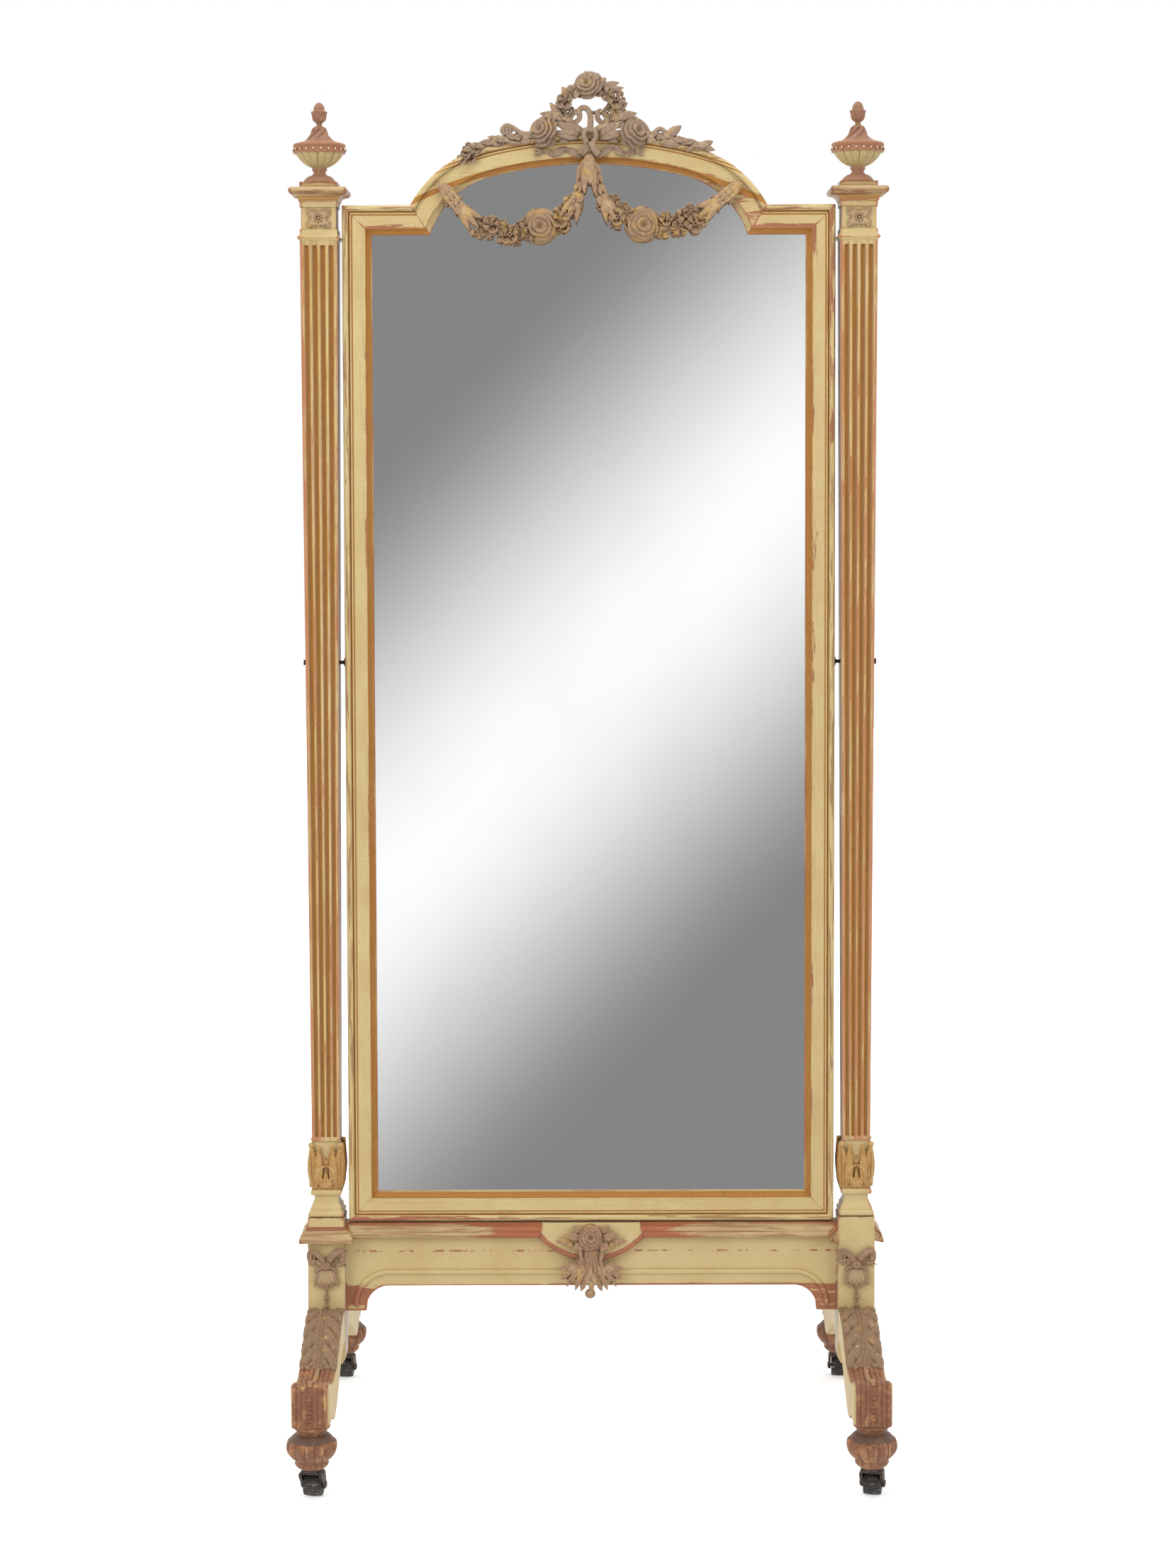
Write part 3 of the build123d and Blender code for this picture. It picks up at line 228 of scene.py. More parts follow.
GRAIN = {"x": (0.12, 1, 1), "y": (1, 0.12, 1), "z": (1, 1, 0.12)}
LONG_GRAIN = {"x": (0.045, 1, 1), "y": (1, 0.045, 1), "z": (1, 1, 0.045)}


def aged_paint(name, palette, grain, wear=0.5, edge_reach=6 * MM, coat=None, ground=None, **masks):
    """Cream paint rubbed through to the terracotta ground. The grain is the axis of the timber.

    The masks are functions of the finish: worn is where more paint has gone, glaze is ochre, bare is
    unpainted wood and streaks is where dark lines run along the grain.
    """
    paint = Finish(name, roughness=0.62)
    cloud = paint.noise(9, detail=3)
    fine = paint.noise(160, detail=4, stretch=GRAIN[grain])
    speck = paint.noise(430, detail=4)
    streak = paint.noise(75, detail=8, rough=0.7, stretch=GRAIN[grain])
    patch = paint.noise(15, detail=10, rough=0.66, stretch=GRAIN[grain], shift=(3.1, 0.4, 1.7))
    first, second = coat or (palette.cream, palette.pale)
    surface = paint.mix(paint.share(cloud, 0.35, 0.7), first, second)
    specks = paint.math("MULTIPLY", paint.share(speck, 0.45, 0.7), 0.22)
    surface = paint.mix(specks, surface, palette.ochre)
    if "streaks" in masks:
        lines = paint.noise(240, detail=4, rough=0.65, stretch=LONG_GRAIN[grain])
        lines = paint.math("MULTIPLY", paint.share(lines, 0.5, 0.56), masks["streaks"](paint))
        surface = paint.mix(lines, surface, srgb(158, 118, 78))
    gone = paint.math("ADD", paint.math("MULTIPLY", streak, 0.5), paint.math("MULTIPLY", patch, 0.5))
    gone = paint.math("ADD", gone, paint.math("MULTIPLY", paint.edge(edge_reach), 0.13))
    if "worn" in masks:
        gone = paint.math("ADD", gone, paint.math("MULTIPLY", masks["worn"](paint), 0.16))
    lost = paint.share(gone, 0.66 - 0.06 * wear, 0.672 - 0.06 * wear)
    under, darker = ground or (palette.bole, srgb(160, 106, 78))
    surface = paint.mix(lost, surface, paint.mix(paint.share(streak, 0.35, 0.65), under, darker))
    if "glaze" in masks:
        ochre = paint.mix(paint.share(speck, 0.35, 0.62), srgb(158, 103, 40), srgb(192, 136, 62))
        ochre = paint.mix(paint.share(fine, 0.35, 0.75), ochre, palette.ochre)
        surface = paint.mix(masks["glaze"](paint), surface, ochre)
    if "bare" in masks:
        wood = paint.mix(paint.share(streak, 0.3, 0.7), palette.bare_wood, srgb(190, 172, 150))
        surface = paint.mix(masks["bare"](paint), surface, wood)
    # Painted shade: hollows and corners, found by ambient occlusion, are darkened towards umber, made
    # patchy by fine noise.
    patchy_hollow_shade = paint.math("MULTIPLY", paint.hollow(9 * MM), paint.share(fine, 0.1, 0.6))
    surface = paint.mix(paint.math("MULTIPLY", patchy_hollow_shade, 0.8), surface, palette.umber)
    paint.colour(surface)
    paint.vary_roughness(lost, 0.5, 0.78)
    height = paint.math("SUBTRACT", paint.math("MULTIPLY", fine, 0.5), lost)
    paint.bump(height, 0.4, 0.9 * MM)
    return paint.material


def carved_finish(name, palette, gold=0.4, ground=None, light=None, zones=()):
    """Taupe ground with worn gold on the high places and dark hollows.

    Zones are pairs of a mask, as a function of the finish, and the colour where it is 1.
    """
    finish = Finish(name, roughness=0.55)
    fine = finish.noise(240, detail=6)
    patch = finish.noise(52, detail=6, rough=0.65)
    pale_spots = finish.noise(95, detail=5, shift=(1, 4, 2))
    base = ground or tuple(palette.carving)
    surface = finish.mix(finish.share(fine, 0.35, 0.65), base, light or srgb(180, 146, 114))
    for mask, tint in zones:
        surface = finish.mix(mask(finish), surface, tint)
    gilt = finish.share(patch, 0.62 - 0.25 * gold, 0.76 - 0.25 * gold)
    surface = finish.mix(gilt, surface, palette.gilding)
    surface = finish.mix(finish.share(pale_spots, 0.64, 0.7), surface, srgb(206, 180, 138))
    rubbed = finish.math("MULTIPLY", finish.edge(1.2 * MM, 0.25, 0.6), 0.35)
    surface = finish.mix(rubbed, surface, palette.pale)
    shade = finish.math("MULTIPLY", finish.hollow(7 * MM, 0.05, 0.75), 0.92)
    surface = finish.mix(shade, surface, srgb(64, 42, 28))
    finish.colour(surface)
    finish.vary_roughness(patch, 0.4, 0.75)
    finish.bump(finish.math("ADD", fine, finish.math("MULTIPLY", patch, 0.6)), 0.45, 1.0 * MM)
    return finish.material


# Making meshes


def at(x, y, z):
    """A place given in millimetres."""
    return Vector((x, y, z)) * MM


def along(points, t):
    """A place on the smooth line through the points, with t from 0 to 1."""
    spans = len(points) - 1
    index = min(int(t * spans), spans - 1)
    s = t * spans - index
    before = points[max(index - 1, 0)]
    here, there = points[index], points[index + 1]
    after = points[min(index + 2, spans)]
    return 0.5 * (
        2 * here
        + (there - before) * s
        + (2 * before - 5 * here + 4 * there - after) * s**2
        + (3 * here - before - 3 * there + after) * s**3
    )


def direction(points, t):
    return (along(points, min(t + 0.01, 1)) - along(points, max(t - 0.01, 0))).normalized()


def frame_of(facing):
    """Two directions across the one that a flower faces."""
    right = facing.cross(UP)
    right = Vector((1, 0, 0)) if right.length < 0.01 else right.normalized()
    return right, right.cross(facing).normalized()


class Carving:
    """One carved piece in the making. Thin forms get their thickness when it is finished."""

    def __init__(self):
        self.thin = bmesh.new()
        self.solid = bmesh.new()

    def sheet(self, across, length, shape):
        """A leaf, petal or ribbon. Shape gives the place for u from -1 to 1 and t from 0 to 1."""
        made = bmesh.ops.create_grid(self.thin, x_segments=across, y_segments=length, size=1)
        for v in made["verts"]:
            v.co = shape(v.co.x, (v.co.y + 1) / 2)

    def closed(self, around, length, shape):
        """A closed form. Shape gets the angle round it and t from end to end, pinched at both."""
        made = bmesh.ops.create_grid(self.solid, x_segments=around, y_segments=length, size=1)
        for v in made["verts"]:
            v.co = shape(pi * v.co.x, (v.co.y + 1) / 2)

    def bead(self, centre, radius, stretch=(1, 1, 1), rounds=2):
        size = Matrix.Diagonal((*(radius * s for s in stretch), 1))
        place = Matrix.Translation(centre) @ size
        bmesh.ops.create_icosphere(self.solid, subdivisions=rounds, radius=1, matrix=place)

    def finish(self, thickness):
        """Everything as one mesh, with its faces outwards."""
        for bm in (self.thin, self.solid):
            bmesh.ops.remove_doubles(bm, verts=bm.verts, dist=2e-6)
            bmesh.ops.dissolve_degenerate(bm, edges=bm.edges, dist=1e-7)
            bmesh.ops.recalc_face_normals(bm, faces=bm.faces)
        if self.thin.faces:
            bmesh.ops.solidify(self.thin, geom=self.thin.faces, thickness=thickness)
            bmesh.ops.recalc_face_normals(self.thin, faces=self.thin.faces)
        spare = bpy.data.meshes.new("spare")
        self.thin.to_mesh(spare)
        self.solid.from_mesh(spare)
        bpy.data.meshes.remove(spare)
        self.thin.free()
        return self.solid


def add_piece(name, bm, material, body, replaced=()):
    mesh = bpy.data.meshes.new(name)
    bm.to_mesh(mesh)
    bm.free()
    mesh.polygons.foreach_set("use_smooth", [True] * len(mesh.polygons))
    mesh.materials.append(material)
    piece = bpy.data.objects.new(name, mesh)
    bpy.context.scene.collection.objects.link(piece)
    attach(piece, body)
    if replaced:
        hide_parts(*replaced)
    return piece


def leaf(carving, root, tip, width, facing=FRONT, lobes=0, rise=0.12, curl=0.1, ribs=0, cells=(6, 9)):
    """A leaf from root to tip. Rise bows its middle outwards and curl lifts its tip."""
    run = tip - root
    ahead = run.normalized()
    side = ahead.cross(facing).normalized()
    out = side.cross(ahead)

    def shape(u, t):
        spread = sin(pi * t**0.72) ** 0.85 if 0 < t < 1 else 0.0
        if lobes:
            spread *= 1 - 0.34 * (0.5 + 0.5 * cos(2 * pi * lobes * t)) * min(1, 4 * (1 - t))
        lift = rise * sin(pi * t) + curl * t**3
        relief = -0.10 * exp(-((u / 0.16) ** 2)) + 0.10 * (1 - u * u)
        if ribs:
            relief += 0.05 * cos(ribs * pi * u)
        reach = run * t + side * (u * spread * width / 2)
        return root + reach + out * (lift * run.length + relief * width * spread)

    carving.sheet(*cells, shape)


def petal(carving, centre, facing, turn, spread, outline, wave=0.06, lap=0.05, cells=(7, 8)):
    """A cupped petal. Its outline is a line of (distance out, height) from its foot to its rim."""
    right, top = frame_of(facing)
    line = [Vector((out, height, 0)) for out, height in outline]

    def shape(u, t):
        here = along(line, t)
        angle = turn + u * spread * (0.55 + 0.45 * min(1, 1.6 * t))
        out = here.x * (1 + lap * u - wave * u**4 * t)
        height = here.y - 0.16 * line[-1].x * u**4 * t
        return centre + (right * cos(angle) + top * sin(angle)) * out + facing * height

    carving.sheet(*cells, shape)


def rose(carving, centre, radius, facing=FRONT, turn=0.3):
    """A full rose: a globe of lapped petals round a deep open heart."""
    facing = facing.normalized()
    right, top = frame_of(facing)
    rings = ((0.34, 0.14, 1), (0.66, 0.24, 2), (1.04, 0.28, 3), (1.44, 0.34, 5))
    shells = (0.86, 0.95, 1.05, 1.18)

    def reach(angle, tilt):
        """How far the surface is from the middle, tilted away from where the rose faces."""
        lips = []
        for index, (low, swing, petals) in enumerate(rings):
            part = ((angle - turn) * petals / (2 * pi) + 0.37 * index) % 1
            lips.append(low + swing * sin(pi * part**0.7))
        if tilt < lips[0]:
            return 0.34 + 0.52 * (tilt / lips[0]) ** 4
        for index in range(3):
            if tilt < lips[index + 1]:
                share = (tilt - lips[index]) / (lips[index + 1] - lips[index])
                sunk = shells[index] * (1 - 0.27 * share**1.5)
                lift = max(0.0, share - 0.88) / 0.12
                return sunk + (shells[index + 1] - sunk) * lift
        return shells[3] * (1 - 0.35 * (tilt - lips[3]))

    def shape(angle, t):
        tilt = 2.5 * t
        out = radius * reach(angle, tilt)
        flat = (right * cos(angle) + top * sin(angle)) * sin(tilt)
        return centre + (flat + facing * (0.72 * cos(tilt))) * out

    carving.closed(80, 80, shape)


def blossom(carving, centre, radius, facing=FRONT, turn=0.0, petals=5):
    """A small open flower with a hollow eye."""
    facing = facing.normalized()
    outline = [(0.16, 0.0), (0.5, 0.04), (0.85, 0.2), (1.0, 0.42), (0.92, 0.5)]
    sized = [(out * radius, height * radius) for out, height in outline]
    for index in range(petals):
        angle = turn + 2 * pi * index / petals
        spread = 0.98 * pi / petals
        petal(carving, centre, facing, angle, spread, sized, wave=0.3, lap=0.03, cells=(5, 5))
    cup = [(0.10, 0.0), (0.24, 0.10), (0.27, 0.30), (0.20, 0.36)]
    sized = [(out * radius, height * radius) for out, height in cup]
    for index in range(2):
        angle = turn + pi * index
        petal(carving, centre, facing, angle, 0.55 * pi, sized, wave=0, lap=0.02, cells=(5, 4))


def bud(carving, root, tip, width, facing=FRONT):
    """A plump closed bud or berry leaf, round in section."""
    run = tip - root
    ahead = run.normalized()
    side = ahead.cross(facing).normalized()
    out = side.cross(ahead)

    def shape(angle, t):
        swell = sin(pi * t**0.85) ** 0.7 if 0 < t < 1 else 0.0
        crease = 1 - 0.18 * exp(-(((angle - 1.57) / 0.3) ** 2))
        reach = swell * width / 2 * crease
        return root + run * t + side * (cos(angle) * reach) + out * (sin(angle) * reach * 0.75)

    carving.closed(12, 12, shape)


def stem(carving, points, thick, thin=None, cells=(8, 12)):
    """A round stem through the points, tapering from thick to thin, closed at its ends."""
    thin = thick if thin is None else thin

    def shape(angle, t):
        ahead = direction(points, t)
        side = ahead.cross(FRONT)
        side = Vector((1, 0, 0)) if side.length < 0.01 else side.normalized()
        out = side.cross(ahead)
        radius = thick + (thin - thick) * t
        radius *= min(1.0, (1 - abs(2 * t - 1) ** 14))
        return along(points, t) + (side * cos(angle) + out * sin(angle)) * radius

    carving.closed(*cells, shape)


def ribbon(carving, points, width, twist=lambda t: 0.0, cells=(5, 24), facing=FRONT):
    """A flat band along the points. Twist turns it about its own length."""

    def shape(u, t):
        ahead = direction(points, t)
        flat = facing - ahead * facing.dot(ahead)
        flat = UP if flat.length < 0.01 else flat.normalized()
        side = ahead.cross(flat)
        angle = twist(t)
        across = side * cos(angle) + flat * sin(angle)
        groove = flat * (0.10 * width * abs(u) ** 2)
        return along(points, t) + across * (u * width / 2) + groove

    carving.sheet(*cells, shape)


def turned(profile, axis_x, axis_y, steps, carve=None):
    """Spin a profile of (radius, height), in millimetres. Carve changes the radius at each angle."""
    bm = bmesh.new()
    verts = [bm.verts.new(at(axis_x + radius, axis_y, height)) for radius, height in profile]
    edges = [bm.edges.new(pair) for pair in zip(verts, verts[1:])]
    bmesh.ops.spin(
        bm, geom=verts + edges, cent=at(axis_x, axis_y, 0), axis=UP, dvec=(0, 0, 0),
        angle=2 * pi, steps=steps, use_merge=True, use_duplicate=False,
    )
    bmesh.ops.remove_doubles(bm, verts=bm.verts, dist=2e-6)
    if carve:
        for v in bm.verts:
            x, y, z = v.co.x / MM - axis_x, v.co.y / MM - axis_y, v.co.z / MM
            radius = hypot(x, y)
            if radius > 0.01:
                share = carve(atan2(y, x), z, radius) / radius
                v.co.x, v.co.y = (axis_x + x * share) * MM, (axis_y + y * share) * MM
    bmesh.ops.recalc_face_normals(bm, faces=bm.faces)
    return bm


def raised(base, points):
    """A turned profile, with its heights counted from the base."""
    return [(radius, base + height) for radius, height in points]


def smooth_profile(points, count):
    """More points on the smooth line through a turned profile."""
    line = [Vector((radius, height, 0)) for radius, height in points]
    rounded = [along(line, index / (count - 1)) for index in range(count)]
    return [(max(p.x, 0.0), p.y) for p in rounded]


# Finishes of the timber


def paint_node(name, material):
    """Give a part of the timber frame its finish."""
    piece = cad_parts[name]
    piece.data.materials.clear()
    piece.data.materials.append(material)


OUTER_HALF_W = 383 * MM
OUTER_LOW_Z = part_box("frame_bottom_rail")[0].z
SHOULDER_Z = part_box("frame_right_shoulder")[1].z
CROWN_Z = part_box("frame_arch")[1].z
HAUNCH_X = 118 * MM
HAUNCH_Z = SHOULDER_Z - 86.5 * MM
HAUNCH_R = 181 * MM


def crown_radius():
    """Radius of the arch's outer edge above the haunches."""
    rise = CROWN_Z - HAUNCH_Z
    return (HAUNCH_X**2 + rise**2 - HAUNCH_R**2) / (2 * (rise - HAUNCH_R))


def inset_from(paint, member):
    """How far a place on the frame lies inside its outer edge."""
    x, _, z = paint.axes()
    across = paint.math("ABSOLUTE", x)
    if member == "stile":
        return paint.math("SUBTRACT", OUTER_HALF_W, across)
    if member == "bottom":
        return paint.math("SUBTRACT", z, OUTER_LOW_Z)
    if member == "shoulder":
        return paint.math("SUBTRACT", SHOULDER_Z, z)

    def from_centre(centre_x, centre_z):
        flat = paint.math("SUBTRACT", across, centre_x)
        high = paint.math("SUBTRACT", z, centre_z)
        squares = paint.math("ADD", paint.math("POWER", flat, 2.0), paint.math("POWER", high, 2.0))
        return paint.math("SQRT", squares)

    crown = crown_radius()
    on_crown = paint.math("SUBTRACT", crown, from_centre(0.0, CROWN_Z - crown))
    on_haunch = paint.math("SUBTRACT", HAUNCH_R, from_centre(HAUNCH_X, HAUNCH_Z))
    return paint.math("MAXIMUM", on_crown, on_haunch)


def frame_paint(name, palette, member, grain):
    """The moulded frame: weathered outer band, ochre grooves and cove, cream between."""

    def glaze(paint):
        inset = inset_from(paint, member)
        outer_groove = paint.band(inset, 10.3 * MM, 1.1 * MM, 0.4 * MM)
        inner_groove = paint.band(inset, 15.0 * MM, 0.9 * MM, 0.4 * MM)
        cove = paint.band(inset, 40.0 * MM, 3.9 * MM, 0.5 * MM)
        return paint.math("MAXIMUM", paint.math("MAXIMUM", outer_groove, inner_groove), cove)

    def worn(paint):
        inset = inset_from(paint, member)
        outer = paint.math("MULTIPLY", paint.share(inset, 9 * MM, 8 * MM), 0.45)
        inner = paint.share(inset, 24 * MM, 36 * MM)
        strength = {"shoulder": 1.3, "stile": 0.75, "arch": 0.55, "bottom": 0.2}[member]
        return paint.math("MAXIMUM", outer, paint.math("MULTIPLY", inner, strength))

    def streaks(paint):
        inset = inset_from(paint, member)
        outer = paint.math("MULTIPLY", paint.share(inset, 9.5 * MM, 8.5 * MM), 0.85)
        inner = paint.math("MULTIPLY", paint.share(inset, 20 * MM, 36 * MM), 0.22)
        return paint.math("MAXIMUM", outer, inner)

    return aged_paint(
        name, palette, grain, wear=0.4, edge_reach=2.5 * MM, worn=worn, glaze=glaze, streaks=streaks
    )


class MIRROR_OT_paint_frame(bpy.types.Operator):
    """Paint the stiles, rails, shoulders and arch of the looking-glass frame"""

    bl_idname = "mirror.paint_frame"
    bl_label = "Paint the frame"

    def execute(self, context):
        palette = context.scene.mirror_colours
        stile = frame_paint("stile_paint", palette, "stile", "z")
        shoulder = frame_paint("shoulder_paint", palette, "shoulder", "x")
        for side in SIDES:
            paint_node(f"frame_{side}_stile", stile)
            paint_node(f"frame_{side}_shoulder", shoulder)
        paint_node("frame_bottom_rail", frame_paint("bottom_rail_paint", palette, "bottom", "x"))
        paint_node("frame_arch", frame_paint("arch_paint", palette, "arch", "x"))
        boards = Finish("softwood", roughness=0.8)
        growth = boards.noise(70, detail=6, stretch=GRAIN["z"])
        knots = boards.noise(7, detail=2, stretch=(1, 1, 0.4))
        planks = boards.mix(boards.share(growth, 0.3, 0.7), palette.softwood, srgb(128, 94, 62))
        boards.colour(boards.mix(boards.share(knots, 0.68, 0.75), planks, palette.umber))
        boards.bump(growth, 0.3, 0.6 * MM)
        paint_node("back_board", boards.material)
        paint_node("back_battens", boards.material)
        return {"FINISHED"}


class MIRROR_OT_paint_stand(bpy.types.Operator):
    """Paint the posts, capitals, mouldings, legs and rail of the stand"""

    bl_idname = "mirror.paint_stand"
    bl_label = "Paint the stand"

    def execute(self, context):
        palette = context.scene.mirror_colours
        shaft_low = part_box("left_leaf_collar")[1].z
        post_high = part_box("right_post")[1].z
        shaft_high = post_high - 60 * MM

        def off_axis(paint, x):
            """How far a place lies to the left or right of its post's axis."""
            return paint.math("ABSOLUTE", paint.math("SUBTRACT", paint.math("ABSOLUTE", x), POST_X))

        def across_face(paint):
            """Half of the shaft's width, and how far a place is from the middle of its own face."""
            x, y, z = paint.axes()
            share = paint.math("DIVIDE", paint.math("SUBTRACT", z, shaft_low), shaft_high - shaft_low)
            half = paint.math("ADD", 22 * MM, paint.math("MULTIPLY", share, 7 * MM))
            return half, paint.math("MINIMUM", off_axis(paint, x), paint.math("ABSOLUTE", y))

        def on_shaft(paint, short=0.0):
            half_run = (shaft_high - shaft_low) / 2 - short
            return paint.band(paint.axes()[2], (shaft_low + shaft_high) / 2, half_run, 0.5 * MM)

        def flute_glaze(paint):
            half, off = across_face(paint)
            steps = paint.math("DIVIDE", off, paint.math("MULTIPLY", half, 0.4345))
            wobble = paint.math("SUBTRACT", paint.noise(60, stretch=GRAIN["z"]), 0.5)
            wobble = paint.math("MULTIPLY", wobble, 0.3)
            away = paint.math("ABSOLUTE", paint.math("SUBTRACT", paint.math("FRACT", steps), 0.5))
            flute = paint.share(paint.math("ADD", away, wobble), 0.39, 0.33)
            flute = paint.math("MULTIPLY", flute, paint.share(steps, 2.0, 1.93))
            return paint.math("MULTIPLY", flute, on_shaft(paint, 7 * MM))

        def fillet_wear(paint):
            x, y, z = paint.axes()
            low = paint.share(z, 1.85, 1.35)
            shaft = paint.math("ADD", 0.35, paint.math("MULTIPLY", low, 0.4))
            shaft = paint.math("MULTIPLY", on_shaft(paint), shaft)
            border = paint.share(off_axis(paint, x), 27.6 * MM, 29.0 * MM)
            border = paint.math("MULTIPLY", border, paint.share(z, 0.36, 0.34))
            front = paint.share(y, -30 * MM, -31 * MM)
            return paint.math("MAXIMUM", shaft, paint.math("MULTIPLY", border, front))

        def inner_face(paint):
            x = paint.axes()[0]
            facing = paint.coordinates.outputs["Normal"]
            normal = paint.node("ShaderNodeSeparateXYZ", None, {0: facing})
            towards = paint.math("MULTIPLY", paint.math("SIGN", x), normal.outputs[0])
            return paint.share(towards, -0.6, -0.9)

        pink = (srgb(202, 150, 112), srgb(184, 122, 82))
        rubbed_coat = (srgb(184, 152, 110), srgb(206, 182, 132))
        brown_ground = (srgb(168, 112, 78), srgb(138, 94, 64))
        post = aged_paint(
            "post_paint", palette, "z", wear=0.5, ground=pink, glaze=flute_glaze, bare=inner_face,
            worn=fillet_wear, streaks=lambda paint: paint.math("MULTIPLY", on_shaft(paint), 0.4),
        )
        capital_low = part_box("left_capital")[0].z

        def cornice_coves(paint):
            z = paint.axes()[2]
            low = paint.band(z, capital_low + 3.0 * MM, 1.0 * MM, 0.4 * MM)
            return paint.math("MAXIMUM", low, paint.band(z, capital_low + 6.6 * MM, 1.0 * MM, 0.4 * MM))

        def cornice_nose(paint):
            nose = paint.band(paint.axes()[2], capital_low + 13 * MM, 4 * MM, 1 * MM)
            return paint.math("MULTIPLY", nose, 0.5)

        def near_middle(paint):
            across = paint.math("ABSOLUTE", paint.axes()[0])
            return paint.math("MULTIPLY", paint.share(across, 210 * MM, 120 * MM), 1.2)

        capital = aged_paint(
            "capital_paint", palette, "x", wear=0.9, coat=rubbed_coat, ground=brown_ground,
            bare=inner_face, glaze=cornice_coves, worn=cornice_nose, streaks=lambda paint: 0.7,
        )
        moulding = aged_paint(
            "moulding_paint", palette, "x", wear=1.1, coat=rubbed_coat, ground=brown_ground,
            streaks=lambda paint: 0.8,
        )
        red_ground = (srgb(186, 112, 74), srgb(160, 98, 66))
        rail_moulding = aged_paint(
            "rail_moulding_paint", palette, "x", wear=0.9, coat=rubbed_coat, ground=red_ground,
            worn=near_middle, streaks=lambda paint: 0.8,
        )
        leg = aged_paint("leg_paint", palette, "y", wear=0.5)

        def rail_wear(paint):
            """A broken line along the board, its lower edge, and a border round its bracket feet."""
            x, _, z = paint.axes()
            dashes = paint.share(paint.noise(200, detail=3, stretch=(0.4, 1, 1)), 0.52, 0.55)
            middle = paint.math("MULTIPLY", paint.band(z, 299 * MM, 1.2 * MM, 0.6 * MM), dashes)
            middle = paint.math("MULTIPLY", middle, 2.2)
            low = paint.share(z, 252 * MM, 243 * MM)
            foot = paint.share(paint.math("ABSOLUTE", x), 345 * MM, 360 * MM)
            foot = paint.math("MULTIPLY", foot, paint.share(z, 219 * MM, 217 * MM))
            inset = paint.band(paint.math("ABSOLUTE", x), 366 * MM, 9 * MM, 1 * MM)
            inset = paint.math("MULTIPLY", inset, paint.band(z, 210 * MM, 2.2 * MM, 0.6 * MM))
            foot = paint.math("SUBTRACT", foot, paint.math("MULTIPLY", inset, 2.0))
            return paint.math("MAXIMUM", middle, paint.math("MAXIMUM", low, foot))

        rail = aged_paint("rail_paint", palette, "x", wear=0.2, worn=rail_wear)
        for side in SIDES:
            paint_node(f"{side}_post", post)
            paint_node(f"{side}_capital", capital)
            paint_node(f"{side}_waist_moulding", moulding)
        for corner in CORNERS:
            paint_node(f"{corner}_leg", leg)
        paint_node("rail", rail)
        paint_node("rail_moulding", rail_moulding)
        return {"FINISHED"}


class MIRROR_OT_blacken_iron(bpy.types.Operator):
    """Give the casters and the pivots their dark iron"""

    bl_idname = "mirror.blacken_iron"
    bl_label = "Blacken the iron"

    def execute(self, context):
        palette = context.scene.mirror_colours
        iron = Finish("old_iron", roughness=0.5, metallic=0.55)
        pits = iron.noise(260, detail=6)
        rust = iron.noise(60, detail=5)
        metal = iron.mix(iron.share(pits, 0.4, 0.7), palette.iron, srgb(34, 29, 28))
        metal = iron.mix(iron.share(rust, 0.56, 0.68), metal, srgb(92, 66, 50))
        iron.colour(iron.mix(iron.edge(1.5 * MM), metal, srgb(120, 108, 100)))
        iron.vary_roughness(pits, 0.35, 0.7)
        iron.bump(pits, 0.5, 0.5 * MM)

        tread = Finish("scuffed_tread", roughness=0.7, metallic=0.3)
        scuffs = tread.noise(300, detail=6, stretch=(0.25, 1, 1))
        broad = tread.noise(90, detail=4)
        face = tread.mix(tread.share(broad, 0.4, 0.7), palette.tread, srgb(44, 42, 42))
        tread.colour(tread.mix(tread.share(scuffs, 0.58, 0.68), face, srgb(158, 150, 140)))
        tread.bump(scuffs, 0.6, 0.6 * MM)
        for corner in CORNERS:
            for part in ("caster_plate", "fork", "axle"):
                paint_node(f"{corner}_{part}", iron.material)
            paint_node(f"{corner}_wheel", tread.material)
        for side in SIDES:
            paint_node(f"{side}_pivot_plate", iron.material)
            paint_node(f"{side}_pivot_bolt", iron.material)
        return {"FINISHED"}


class MIRROR_OT_silver_glass(bpy.types.Operator):
    """Silver the looking glass"""

    bl_idname = "mirror.silver_glass"
    bl_label = "Silver the glass"

    def execute(self, context):
        silver = Finish("silvered_glass", roughness=0.02, metallic=1.0)
        mist = silver.noise(3, detail=2)
        silver.colour(silver.mix(silver.share(mist, 0.3, 0.7), srgb(250, 250, 250), srgb(244, 246, 245)))
        paint_node("glass", silver.material)
        return {"FINISHED"}


# Carved pieces of the stand


